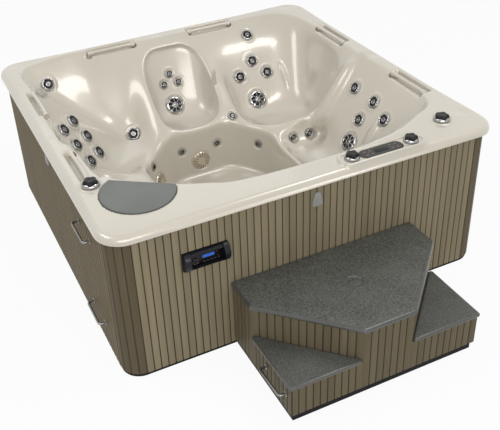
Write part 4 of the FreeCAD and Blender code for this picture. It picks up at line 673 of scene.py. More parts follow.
class Build:
    """Collects faces with their materials for one object."""

    def __init__(self):
        self.verts, self.faces, self.kinds, self.tones = [], [], [], []

    def face(self, corners, kind, tone):
        self.faces.append(tuple(corners))
        self.kinds.append(kind)
        self.tones.append(tone)

    def add(self, verts, faces, kind=0, tone=0.5):
        base = len(self.verts)
        self.verts.extend(tuple(v) for v in verts)
        for face in faces:
            self.face((base + corner for corner in face), kind, tone)

    def rings(self, rings, kind=0, tone=0.5, closed=True, cap_start=False, cap_end=False, kinds=None):
        """Joins rings of equal count by quads."""
        count, base = len(rings[0]), len(self.verts)
        kinds = kinds or [kind] * max(1, len(rings) - 1)
        for ring in rings:
            self.verts.extend(tuple(v) for v in ring)
        for level in range(len(rings) - 1):
            for index in range(count if closed else count - 1):
                a = base + level * count + index
                b = base + level * count + (index + 1) % count
                self.face((a, b, b + count, a + count), kinds[level], tone)
        if cap_start:
            self.face((base + index for index in reversed(range(count))), kinds[0], tone)
        if cap_end:
            last = base + (len(rings) - 1) * count
            self.face((last + index for index in range(count)), kinds[-1], tone)

    def lathe(self, profile, place, count, kind=0, kinds=None, shape=None, lift=0.0):
        """Turns a profile of radius and height about Z; shape may change the radius at each angle."""
        rings = []
        for radius, height in profile:
            ring = []
            for turn in circle(count):
                r = radius if shape is None else shape(radius, turn)
                ring.append(place @ Vector((r * math.cos(turn), r * math.sin(turn), height + lift)))
            rings.append(ring)
        self.rings(rings, kind=kind, kinds=kinds)

    def object(self, name, materials, body, replaces=(), angle=35.0):
        made = new_object(name, self.verts, self.faces, materials, self.kinds)
        tone = made.data.attributes.new("tone", "FLOAT", "FACE")
        tone.data.foreach_set("value", np.asarray(self.tones, np.float32))
        made.data.set_sharp_from_angle(angle=math.radians(angle))
        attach(made, body)
        if replaces:
            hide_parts(*replaces)
        return made


def frame_at(point, axis):
    """A matrix that carries Z to an axis at a point."""
    return Matrix.Translation(point) @ axis.to_track_quat("Z", "Y").to_matrix().to_4x4()


def prism_rings(outline, profile, lift=0.0):
    """Rings of an outline inset and raised along a profile of inset and height."""
    normals = []
    for index in range(len(outline)):
        a, b = Vector(outline[index - 1]), Vector(outline[(index + 1) % len(outline)])
        t = (b - a).normalized()
        normals.append(Vector((t.y, -t.x)))
    rings = []
    for inset, height in profile:
        rings.append([Vector((x - normal.x * inset, y - normal.y * inset, height + lift))
                      for (x, y), normal in zip(outline, normals)])
    return rings


def facing_rings(outline, profile, lift=0.0):
    """The same for an upright outline of X and Z, with the profile's heights along Y."""
    return [[Vector((v.x, v.z, v.y)) for v in ring] for ring in prism_rings(outline, profile, lift)]


# Shell
verts, quads, normals = shell_mesh(FULL_STEP)
shell = new_object("moulded_shell", verts, quads, [PEARL])
shell.data.normals_split_custom_set_from_vertices([tuple(n) for n in normals])
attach(shell, "tub")
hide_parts("acrylic_shell")

# Slatted cabinet and step walls
PITCH, GAP, GAP_DEPTH, THICK, EASE = 0.0414, 0.006, 0.005, 0.016, 0.0022
BACKING_INSET = 0.006


def board(build, start, along, out, width, low, high, tone):
    """One board with eased edges, its face on the wall's outer plane."""
    half_edge = [(0, -GAP_DEPTH), (0, -EASE), (EASE * 0.3, -EASE * 0.3), (EASE, 0)]
    section = half_edge + [(width - s, d) for s, d in reversed(half_edge)]
    rings = []
    for height in (low, high):
        rings.append([(start.x + along.x * s + out.x * d, start.y + along.y * s + out.y * d, height)
                      for s, d in section])
    build.rings(rings, tone=tone, closed=False)
    build.add(rings[1], [range(8)], 0, tone)
    build.add(rings[0], [reversed(range(8))], 0, tone)


def slat_run(build, points, low, high, gaps_at_ends=False, window=None, corner=0.0):
    """Boards over a dark backing along an open outline; a window leaves a hole in the boards it meets."""
    for (ax, ay), (bx, by) in zip(points[:-1], points[1:]):
        a, b = Vector((ax, ay)), Vector((bx, by))
        along = (b - a).normalized()
        out = Vector((along.y, -along.x))
        length = (b - a).length
        count = max(1, round(length / PITCH))
        width = length / count
        for number in range(count):
            left = number * width + (GAP / 2 if number > 0 or gaps_at_ends else 0)
            right = (number + 1) * width - (GAP / 2 if number < count - 1 or gaps_at_ends else 0)
            start = a + along * left
            tone = float(rng.uniform(0.40, 0.60))
            spans = [(low, high)]
            if window and start.x + along.x * (right - left) > window[0] and start.x < window[1]:
                spans = [(low, window[2]), (window[3], high)]
            for bottom, top in spans:
                board(build, start, along, out, right - left, bottom, top, tone)
        front, rear = a - out * GAP_DEPTH, a - out * THICK
        pieces = [(corner, length - corner, low, high)]
        if window:
            w0, w1 = window[0] - ax, window[1] - ax
            pieces = [(0, w0, low, high), (w1, length, low, high),
                      (w0, w1, low, window[2]), (w0, w1, window[3], high)]
        for s0, s1, bottom, top in pieces:
            ring = [front + along * s0, front + along * s1, rear + along * s1, rear + along * s0]
            rings = [[(p.x, p.y, height) for p in ring] for height in (bottom, top)]
            build.rings(rings, kind=1, cap_start=True, cap_end=True)


def quarter_turn(points, quarter):
    for _ in range(quarter):
        points = [(-y, x) for x, y in points]
    return points


STEREO_X, STEREO_Z, STEREO_HALF, STEREO_CAP = -0.6535, 0.668, 0.1265, 0.033
WINDOW_INSET, WINDOW_HALF = 0.015, 0.0583
stereo_window = (STEREO_X - STEREO_HALF + WINDOW_INSET, STEREO_X + STEREO_HALF - WINDOW_INSET,
                 STEREO_Z - WINDOW_HALF, STEREO_Z + WINDOW_HALF)
CABINET_ROUND = 0.114
FLAT = FACE - CABINET_ROUND
PANEL_LOW, PANEL_HIGH = 0.022, 0.892
for quarter, name in enumerate(("front_panel", "right_panel", "back_panel", "left_panel")):
    build = Build()
    line = quarter_turn([(-FLAT, -FACE), (FLAT, -FACE)], quarter)
    window = stereo_window if name == "front_panel" else None
    slat_run(build, line, PANEL_LOW, PANEL_HIGH, gaps_at_ends=True, window=window)
    # The left panel takes the darker slats: painted shade
    boards = SLAT_LEFT_SHADED if name == "left_panel" else SLAT
    build.object("slats_" + name, [boards, GROOVE], "tub", [name])
build = Build()
facets = [math.radians(-90 + 22.5 * index) for index in range(5)]
arc = [(FLAT + CABINET_ROUND * math.cos(turn), -FLAT + CABINET_ROUND * math.sin(turn)) for turn in facets]
for quarter in range(4):
    slat_run(build, quarter_turn(arc, quarter), PANEL_LOW, PANEL_HIGH, gaps_at_ends=True)
build.object("slats_corners", [SLAT_CORNER_SHADED, GROOVE], "tub", ["corner_covers"])

STEP_LEFT, STEP_RIGHT, STEP_FRONT, STEP_SIDE = -0.515, 0.610, -FACE - 0.642, -FACE - 0.221
FRONT_LEFT, FRONT_RIGHT = -0.105, 0.190
PLINTH_TOP, WALL_TOP, TREAD_UNDER, TREAD_TOP = 0.048, 0.422, 0.230, 0.252
upper = [(STEP_LEFT, -FACE), (STEP_LEFT, STEP_SIDE), (FRONT_LEFT, STEP_FRONT), (FRONT_RIGHT, STEP_FRONT),
         (STEP_RIGHT, STEP_SIDE), (STEP_RIGHT, -FACE)]
left_corner = [(STEP_LEFT, STEP_SIDE), (STEP_LEFT, STEP_FRONT), (FRONT_LEFT, STEP_FRONT)]
right_corner = [(FRONT_RIGHT, STEP_FRONT), (STEP_RIGHT, STEP_FRONT), (STEP_RIGHT, STEP_SIDE)]
build = Build()
for line, top in ((upper, WALL_TOP), (left_corner, TREAD_UNDER), (right_corner, TREAD_UNDER)):
    slat_run(build, line, PLINTH_TOP, top, corner=BACKING_INSET)
build.object("slats_step", [SLAT_STEP_SHADED, GROOVE], "tub", ["step_walls"])

# Step deck and treads with a rolled nosing
NOSING = 0.012
DECK_TOP, DECK_GAP, DISH = 0.450, 0.001, Vector((0.051, -FACE - 0.310))
DECK_DISH = [(0.052, 0.0), (0.046, 0.0), (0.0435, -0.0030), (0.041, -0.0065), (0.034, -0.0060),
             (0.012, -0.0040), (0.0, -0.0036)]


def nosing_profile(low, high):
    """A half-round edge from the underside to the top."""
    half = (high - low) / 2
    profile = [(half * 0.9, low)]
    for number in range(11):
        turn = math.radians(-80 + 17 * number)
        profile.append((half * (1 - math.cos(turn)), low + half + half * math.sin(turn)))
    return profile


def subdivided(outline, longest=0.02):
    found = []
    for a, b in zip(outline, outline[1:] + outline[:1]):
        steps = max(1, int(math.dist(a, b) / longest))
        for number in range(steps):
            share = number / steps
            found.append((a[0] + (b[0] - a[0]) * share, a[1] + (b[1] - a[1]) * share))
    return found


deck_points = upper[1:5] + [(STEP_RIGHT, -FACE - DECK_GAP), (STEP_LEFT, -FACE - DECK_GAP)]
outline = subdivided(rounded_outline(moved_outline(deck_points, [NOSING] * 4 + [0.0, NOSING]), 0.018))
rings = prism_rings(outline, nosing_profile(WALL_TOP, DECK_TOP))
kinds = [1] * (len(rings) - 1) + [0] * len(DECK_DISH)
flat = rings[-1]
for radius, depth in DECK_DISH:
    ring = []
    for corner in flat:
        away = Vector((corner.x - DISH.x, corner.y - DISH.y)).normalized() * radius
        ring.append(Vector((DISH.x + away.x, DISH.y + away.y, DECK_TOP + depth)))
    rings.append(ring)
build = Build()
build.rings(rings, cap_start=True, kinds=kinds)
build.object("deck_top", [STIPPLE, NOSE], "step_deck", ["step_deck"], angle=60)
build = Build()
for corner in (left_corner, right_corner):
    outline = rounded_outline(moved_outline(corner, [NOSING, NOSING, 0.0]), 0.016)
    rings = prism_rings(outline, nosing_profile(TREAD_UNDER, TREAD_TOP))
    build.rings(rings, kind=1, cap_start=True)
    build.add(rings[-1], [range(len(outline))], 0)
build.object("tread_tops", [STIPPLE, NOSE], "tub", ["step_treads"], angle=60)

# Jets: scalloped chrome bezel, dark inner face and nozzle
JET_LIFT = 0.0013
SCALLOPS, NOTCH_RADIUS, NOTCH_CENTRE, SCALLOP_START = 5, 0.22, 1.13, 0.75
BEZEL = [(1.0, 0.0), (1.0, 0.0030), (0.975, 0.0052), (0.93, 0.0070), (0.86, 0.0084), (0.80, 0.0090)]
BEZEL_INSIDE = [(0.002, 0.0088), (0.0, 0.0076), (-0.002, 0.0046), (-0.005, 0.0030)]
NOZZLE = [(0.006, 0.0026), (0.0045, 0.0056), (0.003, 0.0062), (0.001, 0.0058), (0.0, 0.0045), (0.0, -0.012)]
JET_KINDS = [0] * 8 + [1] * 3 + [0] * 3 + [1] * 2
PIN, SPOKE_START, SPOKE_END = [(0.55, -0.008), (0.55, 0.001), (0.3, 0.003)], 0.0075, 0.003
FOOT_JET = [(1.0, -0.002), (1.0, 0.001), (0.93, 0.0034), (0.8, 0.005), (0.62, 0.005), (0.52, 0.0035),
            (0.45, 0.002), (0.36, 0.0022), (0.33, 0.0045), (0.27, 0.0045), (0.24, 0.002), (0.24, -0.012)]
SUCTION = [(1.0, -0.002), (1.0, 0.002), (0.97, 0.0045), (0.93, 0.0075), (0.87, 0.0110), (0.80, 0.0128),
           (0.72, 0.0142), (0.62, 0.0155), (0.52, 0.0158), (0.46, 0.0160), (0.43, 0.0150), (0.38, 0.0158),
           (0.20, 0.0160), (0.004, 0.0160)]
SLOT_DEPTH, SLOT_START, SLOT_END = 0.0110, 0.45, 0.92


def scalloped(full):
    """Round notches in the outer part of a disc of a full radius."""
    def shape(radius, turn):
        phase = (turn + math.pi / SCALLOPS) % (2 * math.pi / SCALLOPS) - math.pi / SCALLOPS
        inside = (NOTCH_RADIUS * full) ** 2 - (NOTCH_CENTRE * full * math.sin(phase)) ** 2
        if inside <= 0 or radius < SCALLOP_START * full:
            return radius
        limit = NOTCH_CENTRE * full * math.cos(phase) - math.sqrt(inside)
        return min(radius, limit + (radius - full))
    return shape


def jet_spokes(build, place, size, inner, outer):
    large = size == "large"
    half = 0.0028 if large else 0.0018
    count = {"large": 8, "small": 0}.get(size, 5)
    for number in range(count):
        turn = Matrix.Rotation(2 * math.pi * number / count, 4, "Z")
        ends = []
        for r, w, h in ((inner, half, 0.0062), (outer, half * 1.6, 0.0050)):
            section = ((-w, 0.0024), (-w * 0.7, h), (w * 0.7, h), (w, 0.0024))
            ends.append([place @ turn @ Vector((r, y, JET_LIFT + z)) for y, z in section])
        build.rings(ends, kind=0 if large else 1, closed=False)
        build.add(ends[0], [(3, 2, 1, 0)], 0)


def jet(build, wall, size):
    place = frame_at(*wall_place(*wall))
    radius, nozzle = JET_RADIUS[size], NOZZLE_RADIUS[size]
    bright = BEZEL_SHARE[size] * radius
    profile = scaled(BEZEL, radius) + [(bright + out, height) for out, height in BEZEL_INSIDE]
    profile += [(nozzle + out, height) for out, height in NOZZLE] + [(0.0005, -0.012)]
    build.lathe(profile, place, 72, kinds=JET_KINDS, shape=scalloped(radius), lift=JET_LIFT)
    jet_spokes(build, place, size, nozzle + SPOKE_START, bright - SPOKE_END)
    build.lathe(scaled(PIN, nozzle) + [(0.0003, 0.0035)], place, 20, lift=JET_LIFT)


for name, (*wall, size) in JETS.items():
    build = Build()
    jet(build, wall, size)
    build.object("face_" + name, [CHROME, GLOSS_BLACK], name, [name])
build = Build()
for wall in MINI_JETS:
    jet(build, wall, "small")
build.object("faces_mini_jets", [CHROME, GLOSS_BLACK], "tub", ["mini_jets"])
build = Build()
for wall in FOOT_JETS:
    profile = scaled(FOOT_JET, JET_RADIUS["small"]) + [(0.0003, -0.012)]
    build.lathe(profile, frame_at(*wall_place(*wall)), 40, kinds=[0] * 5 + [1] * 7)
build.object("foot_jet_faces", [FOOT_GREY, GLOSS_BLACK], "tub", ["foot_jets"])
build = Build()
for wall in SUCTIONS:
    place = frame_at(*wall_place(*wall))
    rings = []
    for share, height in SUCTION:
        r = share * SUCTION_RADIUS
        ring = []
        for index, turn in enumerate(circle(128)):
            slotted = SLOT_START < share < SLOT_END and index % 8 in (3, 4, 5)
            depth = SLOT_DEPTH if slotted else 0.0
            ring.append(place @ Vector((r * math.cos(turn), r * math.sin(turn), height - depth)))
        rings.append(ring)
    build.rings(rings)
build.object("suction_covers", [TAUPE], "tub", ["suction_grilles"], angle=30)

# Rim knobs: bright skirt and a dark scalloped grip
KNOB_LIFT, POD_KNOB_RADIUS, RIM_KNOB_RADIUS = 0.0033, 0.043, 0.048
LOBES, LOBE_DEPTH, LOBE_START = 5, 0.20, 0.012
SKIRT = [(1.0, 0.0), (1.0, 0.003), (0.985, 0.0050), (0.955, 0.0085), (0.915, 0.0120), (0.870, 0.0150),
         (0.80, 0.0170)]
GRIP = [(0.93, 0.0085), (0.88, 0.0180), (0.82, 0.026), (0.77, 0.0295), (0.68, 0.0312), (0.50, 0.0319),
        (0.30, 0.0310), (0.10, 0.0306)]


def lobed(radius, turn):
    wave = 0.5 + 0.5 * math.cos(LOBES * turn)
    return radius * (1 - LOBE_DEPTH * wave ** 1.6) if radius > LOBE_START else radius


for name, (x, y, z) in KNOBS.items():
    build = Build()
    radius = POD_KNOB_RADIUS if z > RIM_TOP else RIM_KNOB_RADIUS
    place, lift = Matrix.Translation((x, y, 0)), z + KNOB_LIFT
    build.lathe([(0.012, 0.0)] + scaled(SKIRT, radius), place, 64, lift=lift)
    build.lathe(scaled(GRIP, radius) + [(0.0005, 0.0306)], place, 80, kind=1, shape=lobed, lift=lift)
    build.object("cap_" + name, [CHROME, GLOSS_BLACK], name, [name])

# Filter lid
build = Build()
edge = math.acos(LID_CHORD / LID_RADIUS)
loop = []
turn_in = math.atan2(corner_in.y, corner_in.x)
for index in range(73):
    turn = turn_in + (edge + (2 * math.pi - 2 * edge) * index / 72)
    loop.append((LID_CENTRE[0] + LID_RADIUS * math.cos(turn), LID_CENTRE[1] + LID_RADIUS * math.sin(turn)))
thickness = LID_SINK + LID_RISE
profile = [(0.002, -thickness), (0.0, 0.002 - thickness), (0.0, -0.006), (0.0012, -0.0030), (0.0035, -0.0010),
           (0.0060, -0.0002), (0.0100, 0.0)]
build.rings(prism_rings(loop, profile, RIM_TOP + LID_RISE), cap_start=True, cap_end=True)
build.object("lid_cover", [SLATE], "filter_lid", ["filter_lid"], angle=60)

# Grab rails with swelling ends and a slight bow
RAIL_SLIM, RAIL_SWELL, SWELL_REACH = 0.0016, 0.0070, 0.030
RAIL_BOW, RAIL_DROP, DROP_REACH = 0.006, 0.006, 0.040


def rail_point(edge, along, out, height):
    """A point from its place along a rim edge and its distance out from the opening."""
    if edge == "back":
        return (along, OPEN_BACK + out, height)
    if edge == "right":
        return (OPEN_RIGHT + out, along, height)
    return (OPEN_LEFT - out, along, height)


build = Build()
for edge, place in RAILS:
    rings = []
    for number in range(41):
        share = number / 40
        along = place - RAIL_LENGTH / 2 + RAIL_LENGTH * share
        near = min(share, 1 - share) * RAIL_LENGTH
        radius = RAIL_RADIUS - RAIL_SLIM + RAIL_SWELL * math.exp(-(near / SWELL_REACH) ** 2)
        height = RAIL_Z - RAIL_DROP * math.exp(-(near / DROP_REACH) ** 2)
        out = RAIL_SETBACK - RAIL_BOW * math.sin(math.pi * share)
        rings.append([rail_point(edge, along, out + radius * math.cos(turn), height + radius * math.sin(turn))
                      for turn in circle(24)])
    build.rings(rings, cap_start=True, cap_end=True)
build.object("rail_bars", [PEARL], "tub", ["grab_rails"], angle=60)

# Control panel and the bead round its pod
PANEL_X, PANEL_Y, PANEL_RISE = POD_CENTRE[0] - 0.007, POD_CENTRE[1] - 0.002, 0.004
KEY_X, KEY_PITCH, KEY_Y, LAMP_X = 0.064, 0.033, 0.017, 0.0805
BEAD_INSET, BEAD_SINK, BEAD_HEIGHT = 0.0090, 0.0030, 0.0105


def rounded_plate(x, y, half_x, half_y, radius):
    return rounded_box(x - half_x, y - half_y, x + half_x, y + half_y, radius, 10)


top = POD_TOP + PANEL_RISE
frame_edge = [(0, -0.010), (0, -0.0025), (0.0007, -0.0010), (0.0025, 0.0), (0.0060, 0.0), (0.0068, -0.0006),
              (0.0080, -0.0006)]
glass_edge = [(0.0, -0.0006), (0.0004, 0.0003), (0.0016, 0.0006)]
key = [(0.0075, -0.0008), (0.0070, 0.0004), (0.0055, 0.0009), (0.0004, 0.0010)]
lamp = [(0.0032, -0.0008), (0.0028, 0.0006), (0.0003, 0.0008)]
panel = Build()
plate = rounded_plate(PANEL_X, PANEL_Y, 0.136, 0.042, 0.038)
panel.rings(prism_rings(plate, frame_edge, top), cap_start=True, cap_end=True)
glass = rounded_plate(PANEL_X, PANEL_Y, 0.042, 0.019, 0.008)
panel.rings(prism_rings(glass, glass_edge, top), kind=1, cap_end=True)
for side in (-1, 1):
    for column in (0, 1):
        for row in (-1, 1):
            spot = (PANEL_X + side * (KEY_X + KEY_PITCH * column), PANEL_Y + row * KEY_Y, 0)
            panel.lathe(key, Matrix.Translation(spot), 28, kind=2, lift=top)
    spot = (PANEL_X + side * LAMP_X, PANEL_Y, 0)
    panel.lathe(lamp, Matrix.Translation(spot), 16, kind=3, lift=top)
bead = Build()
loop = rounded_plate(*POD_CENTRE, POD_HALF[0] - BEAD_INSET, POD_HALF[1] - BEAD_INSET, 0.050)
arch = [math.pi * number / 16 for number in range(17)]
profile = [(-BEAD_INSET * math.cos(turn), BEAD_HEIGHT * math.sin(turn)) for turn in arch]
bead.rings(prism_rings(loop, profile, POD_TOP - BEAD_SINK))
bead.object("pod_bead", [PEARL], "tub", (), angle=80)
panel.object("panel_face", [PANEL_GREY, GLOSS_BLACK, KEY_GREY, LED], "tub", ["control_panel"])

# Stereo housing
AXIS_DEPTH = 0.013
AXIS_Y = -FACE + AXIS_DEPTH
CAP_RADIUS, CHIN_RADIUS, CHIN_DROP, POCKET_RADII = 0.060, 0.058, 0.035, (0.0553, 0.0583)
CAP_EDGE = [(0.0, 0.007), (0.0008, 0.0042), (0.0030, 0.0014), (0.0070, 0.0)]
TRACK_LOW, TRACK_HIGH, TRACK_DEPTH = 0.0487, 0.0533, 0.0038
inner_left, inner_right = STEREO_X - STEREO_HALF + STEREO_CAP, STEREO_X + STEREO_HALF - STEREO_CAP


def drum_point(x, radius, turn):
    return (x, AXIS_Y - radius * math.cos(turn), STEREO_Z + radius * math.sin(turn))


def drum_rings(stations, turns):
    """Arcs about the stereo's axis, one for each place across and radius."""
    return [[drum_point(x, radius, turn) for turn in turns] for x, radius in stations]


build = Build()
reach = math.acos(AXIS_DEPTH / CAP_RADIUS)
turns = [-reach + 2 * reach * i / 40 for i in range(41)]
for inner, outward in ((inner_left, -1), (inner_right, 1)):
    end = STEREO_X + outward * STEREO_HALF
    stations = [(end - outward * inset, CAP_RADIUS - drop) for inset, drop in CAP_EDGE]
    rings = drum_rings(stations + [(inner, CAP_RADIUS)], turns)
    if outward > 0:
        rings = [ring[::-1] for ring in rings]
    build.rings(rings, closed=False, cap_start=True)
    for low, high in ((0.0, TRACK_LOW), (TRACK_HIGH, CAP_RADIUS)):
        strip = drum_rings([(inner, low), (inner, high)], turns)
        build.rings(strip if outward > 0 else strip[::-1], closed=False)
    track = inner + outward * TRACK_DEPTH
    for radius in (TRACK_LOW, TRACK_HIGH):
        build.rings(drum_rings([(inner, radius), (track, radius)], turns), closed=False)
    build.rings(drum_rings([(track, TRACK_LOW), (track, TRACK_HIGH)], turns), closed=False)
chin_top = STEREO_Z - CHIN_DROP
chin_start = -math.asin(CHIN_DROP / CHIN_RADIUS)
chin_turns = [chin_start - (chin_start + reach + 0.11) * i / 14 for i in range(15)]
build.rings(drum_rings([(inner_left, CHIN_RADIUS), (inner_right, CHIN_RADIUS)], chin_turns), closed=False)
chin_front, chin_back = drum_point(0, CHIN_RADIUS, chin_start)[1], -FACE + 0.004
build.add([(inner_left, chin_front, chin_top), (inner_right, chin_front, chin_top),
           (inner_right, chin_back, chin_top), (inner_left, chin_back, chin_top)], [(0, 1, 2, 3)])
back_turns = [math.pi / 2 + 0.15 + (math.pi - 0.30) * i / 20 for i in range(21)]
for radius in POCKET_RADII:
    build.rings(drum_rings([(inner_left, radius), (inner_right, radius)], back_turns), closed=False)
build.object("stereo_case", [STEREO_BLACK], "tub", ["stereo_housing"])

# Radio with a display, plain keys and lamps
RADIO_FRONT, RADIO_DEPTH, RADIO_TOP, RADIO_GAP = AXIS_Y - 0.026, 0.046, 0.033, 0.0005
DISPLAY_LEFT, DISPLAY_RIGHT, DISPLAY_LOW, DISPLAY_HIGH = -0.022, 0.044, 0.003, 0.021
KEYS, KEYS_LEFT, KEYS_PITCH, KEY_WIDTH, KEYS_LOW, KEYS_HIGH = 5, -0.020, 0.020, 0.014, -0.022, -0.015
LAMPS, LAMP_RADIUS = [(-0.047, 0.018), (-0.047, -0.020), (0.060, 0.020), (0.064, -0.006)], 0.0018
build = Build()
face_loop = rounded_box(inner_left + RADIO_GAP, chin_top + RADIO_GAP, inner_right - RADIO_GAP,
                        STEREO_Z + RADIO_TOP, 0.004, 4)
face_edge = [(0.0, RADIO_DEPTH), (0.0, 0.003), (0.0008, 0.0010), (0.0030, 0.0)]
build.rings(facing_rings(face_loop, face_edge, RADIO_FRONT), cap_start=True, cap_end=True)


def radio_plate(outline, height, kind):
    """A flat plate that stands out from the radio's face."""
    rings = facing_rings(outline, [(0.0, 0.0002), (0.0, -height)], RADIO_FRONT)
    build.rings(rings, kind=kind, cap_end=True)


display = rounded_box(STEREO_X + DISPLAY_LEFT, STEREO_Z + DISPLAY_LOW, STEREO_X + DISPLAY_RIGHT,
                      STEREO_Z + DISPLAY_HIGH, 0.003, 4)
radio_plate(display, 0.0006, 1)
for number in range(KEYS):
    left = STEREO_X + KEYS_LEFT + KEYS_PITCH * number
    key = rounded_box(left, STEREO_Z + KEYS_LOW, left + KEY_WIDTH, STEREO_Z + KEYS_HIGH, 0.002, 3)
    radio_plate(key, 0.0012, 2)
for x, z in LAMPS:
    lamp = [(STEREO_X + x + LAMP_RADIUS * math.cos(turn), STEREO_Z + z + LAMP_RADIUS * math.sin(turn))
            for turn in circle(12)]
    radio_plate(lamp, 0.0008, 3)
build.object("radio_face", [GLOSS_BLACK, SCREEN, PANEL_GREY, LED], "tub", ["stereo_radio"])

# Radio dial with a knurled edge
DIAL = [(0.018, 0.0), (0.018, 0.0040), (0.0172, 0.0055), (0.0160, 0.0060), (0.0125, 0.0060),
        (0.0112, 0.0052), (0.0105, 0.0042), (0.0003, 0.0040)]
KNURLS, KNURL_DEPTH, KNURL_START = 30, 0.02, 0.0165


def knurled(radius, turn):
    wave = 0.5 + 0.5 * math.cos(KNURLS * turn)
    return radius * (1 - KNURL_DEPTH * wave) if radius > KNURL_START else radius


build = Build()
dial_centre = Vector((inner_left + 0.030, RADIO_FRONT - 0.0003, STEREO_Z - 0.004))
build.lathe(DIAL, frame_at(dial_centre, Vector((0, -1, 0))), 120, kinds=[0, 1, 1, 1, 0, 0, 0], shape=knurled)
build.object("dial_cap", [STEREO_BLACK, PANEL_GREY], "stereo_dial", ["stereo_dial"])

# Roll-up shutter of narrow slats
DOOR_OUTER, DOOR_INNER, DOOR_GROOVE, DOOR_OVERLAP = 0.0530, 0.0490, 0.0016, 0.0035
DOOR_LOW, DOOR_HIGH, DOOR_STEPS, DOOR_SLATS = math.radians(45), math.radians(135), 112, 14
build = Build()
ends = (inner_left - DOOR_OVERLAP, inner_right + DOOR_OVERLAP)
rings_out, rings_in = [], []
for number in range(DOOR_STEPS + 1):
    turn = DOOR_LOW + (DOOR_HIGH - DOOR_LOW) * number / DOOR_STEPS
    phase = (number / DOOR_STEPS * DOOR_SLATS) % 1.0
    radius = DOOR_OUTER - (DOOR_GROOVE if phase < 0.25 else 0.0)
    rings_out.append([drum_point(x, radius, turn) for x in ends])
    rings_in.append([drum_point(x, DOOR_INNER, turn) for x in ends])
build.rings([ring[::-1] for ring in rings_out], closed=False)
build.rings(rings_in, closed=False)
for a, b in ((rings_out[0], rings_in[0]), (rings_in[-1], rings_out[-1])):
    build.add([a[0], a[1], b[1], b[0]], [(0, 1, 2, 3)])
for end in (0, 1):
    strip = [[ring[end] for ring in rings_out], [ring[end] for ring in rings_in]]
    build.rings(strip if end == 0 else strip[::-1], closed=False)
build.object("shutter", [STEREO_BLACK], "stereo_door", ["stereo_door"], angle=25)

# Cover clips: a tapered plate with a raised curved tongue
build = Build()
plate = rounded_outline([(-0.037, 0.760), (0.037, 0.760), (0.0165, 0.847), (-0.0165, 0.847)], 0.016, 8)
plate_edge = [(0, 0.0), (0, -0.006), (0.001, -0.0085), (0.003, -0.010), (0.006, -0.0105)]
tongue = rounded_outline([(-0.012, 0.764), (0.012, 0.764), (0.007, 0.832), (-0.007, 0.832)], 0.006, 5)
tongue_edge = [(0, -0.0100), (0.0, -0.0108), (0.0012, -0.0117), (0.004, -0.0120)]
for quarter in range(4):
    turn = Matrix.Rotation(math.pi / 2 * quarter, 4, "Z")
    for outline, profile, closed_back in ((plate, plate_edge, True), (tongue, tongue_edge, False)):
        rings = [[turn @ v for v in ring] for ring in facing_rings(outline, profile, -FACE)]
        build.rings(rings, cap_start=closed_back, cap_end=True)
build.object("clip_plates", [CLIP], "tub", ["cover_clips"], angle=40)

# Steel lift handles
HANDLES = [(-FACE, -0.680, 0.702), (-FACE, -0.740, 0.187), (STEP_LEFT, -FACE - 0.480, 0.157)]
HANDLE_HALF, HANDLE_OUT, HANDLE_BEND, HANDLE_RADIUS = 0.104, 0.038, 0.016, 0.007
FOOT = [(0.016, 0.0), (0.016, 0.0022), (0.0145, 0.0036), (0.0085, 0.0040), (0.007, 0.0046)]


def tube(build, path, radius):
    rings = []
    for index, point in enumerate(path):
        a, b = path[max(0, index - 1)], path[min(len(path) - 1, index + 1)]
        place = frame_at(point, (b - a).normalized())
        rings.append([place @ Vector((radius * math.cos(t), radius * math.sin(t), 0)) for t in circle(20)])
    build.rings(rings, cap_start=True, cap_end=True)


build = Build()
for face_x, centre_y, z in HANDLES:
    end_y, bend_x = centre_y - HANDLE_HALF, face_x - HANDLE_OUT + HANDLE_BEND
    path = [Vector((face_x, end_y, z)), Vector((bend_x, end_y, z))]
    for number in range(1, 7):
        turn = math.pi / 2 * number / 6
        path.append(Vector((bend_x - HANDLE_BEND * math.sin(turn),
                            end_y + HANDLE_BEND - HANDLE_BEND * math.cos(turn), z)))
    mirrored = [Vector((p.x, 2 * centre_y - p.y, z)) for p in reversed(path)]
    tube(build, path + mirrored, HANDLE_RADIUS)
    for side in (-1, 1):
        foot_centre = Vector((face_x, centre_y + side * HANDLE_HALF, z))
        build.lathe(FOOT, frame_at(foot_centre, Vector((-1, 0, 0))), 32)
build.object("handle_bars", [STEEL], "tub", ["carry_handles"], angle=40)


# Floor and background
def seen_rays(tree):
    """One for rays that show the background: from the camera, off metal or through glass."""
    path = node(tree, "ShaderNodeLightPath").outputs
    shiny = arithmetic(tree, "MAXIMUM", path["Is Camera Ray"], path["Is Glossy Ray"])
    return arithmetic(tree, "MAXIMUM", shiny, path["Is Transmission Ray"])


FLOOR_HALF, FLOOR_WHITE = 60, 0.93
WORLD_COLOUR, WORLD_LIGHT, WORLD_SEEN = (1.0, 0.985, 0.95, 1), 0.47, 1.06
corners = [(-FLOOR_HALF, -FLOOR_HALF, 0), (FLOOR_HALF, -FLOOR_HALF, 0), (FLOOR_HALF, FLOOR_HALF, 0),
           (-FLOOR_HALF, FLOOR_HALF, 0)]
floor_mesh = bpy.data.meshes.new("floor")
floor_mesh.from_pydata(corners, [], [(0, 1, 2, 3)])
floor = bpy.data.objects.new("floor", floor_mesh)
bpy.context.scene.collection.objects.link(floor)
floor_material, tree, shader = material("pale_floor")
feed(tree, shader, {"Base Color": greys(tree, noise(tree, 0.6), 0.80, 0.82), "Roughness": 0.9,
                    "Specular IOR Level": 0.1})
white = node(tree, "ShaderNodeEmission", {"Strength": 1.0}).outputs["Emission"]
share = arithmetic(tree, "MULTIPLY", seen_rays(tree), FLOOR_WHITE)
blend = node(tree, "ShaderNodeMixShader", {"Fac": share, 1: shader.outputs["BSDF"], 2: white})
feed(tree, tree.nodes["Material Output"], {"Surface": blend.outputs["Shader"]})
floor.data.materials.append(floor_material)

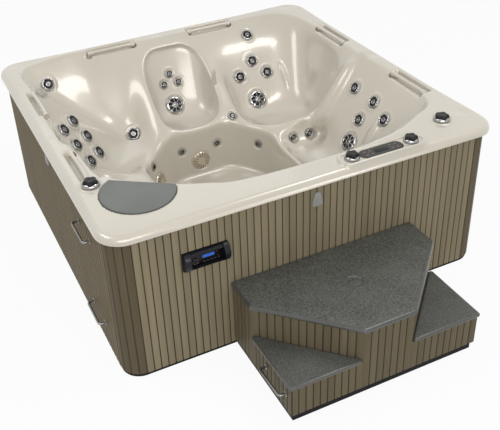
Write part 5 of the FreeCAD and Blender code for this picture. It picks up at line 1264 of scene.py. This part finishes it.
world = bpy.data.worlds.new("studio")
bpy.context.scene.world = world
world.use_nodes = True
tree = world.node_tree
strength = node(tree, "ShaderNodeMix", {"Factor": seen_rays(tree), "A": WORLD_LIGHT, "B": WORLD_SEEN},
                data_type="FLOAT").outputs["Result"]
feed(tree, tree.nodes["Background"], {"Color": WORLD_COLOUR, "Strength": strength})


# Light and camera
def area_light(name, place, target, size, energy):
    data = bpy.data.lights.new(name, "AREA")
    data.shape = "RECTANGLE"
    data.size, data.size_y = size
    data.energy = energy
    obj = bpy.data.objects.new(name, data)
    obj.location = place
    obj.rotation_mode = "QUATERNION"
    obj.rotation_quaternion = (Vector(target) - Vector(place)).to_track_quat("-Z", "Y")
    bpy.context.scene.collection.objects.link(obj)


area_light("key", (1.9, -1.5, 4.7), (0.1, -0.2, 0.5), (2.2, 0.9), 46)
area_light("front", (-2.0, -7.0, 4.9), (0.1, 0.2, 0.6), (6.5, 2.6), 265)
area_light("left", (-2.9, 0.2, 3.9), (-0.4, 0, 0.6), (2.0, 1.2), 34)
area_light("rear", (0.8, 4.2, 3.9), (0, 0.3, 0.8), (3.6, 1.4), 8)

IMAGE_WIDTH, IMAGE_HEIGHT, FOCAL_PIXELS = 500.0, 430.0, 814.04
AXIS_PIXEL_X, AXIS_PIXEL_Y = 227.17, 186.90
CAMERA_PLACE, CAMERA_TURN = (-1.85974, -4.22222, 3.19266), Vector((2.08968751, -0.49857451, 0.20898688))
camera_data = bpy.data.cameras.new("camera")
camera = bpy.data.objects.new("camera", camera_data)
bpy.context.scene.collection.objects.link(camera)
bpy.context.scene.camera = camera
camera_data.sensor_width = 36.0
camera_data.lens = camera_data.sensor_width * FOCAL_PIXELS / IMAGE_WIDTH
camera_data.shift_x = (IMAGE_WIDTH / 2 - AXIS_PIXEL_X) / IMAGE_WIDTH
camera_data.shift_y = (AXIS_PIXEL_Y - IMAGE_HEIGHT / 2) / IMAGE_WIDTH
world_to_camera = Matrix.Rotation(CAMERA_TURN.length, 3, CAMERA_TURN.normalized())
flip = Matrix(((1, 0, 0), (0, -1, 0), (0, 0, -1)))
camera.matrix_world = Matrix.Translation(CAMERA_PLACE) @ (world_to_camera.transposed() @ flip).to_4x4()

bpy.context.scene.view_settings.view_transform = "Standard"
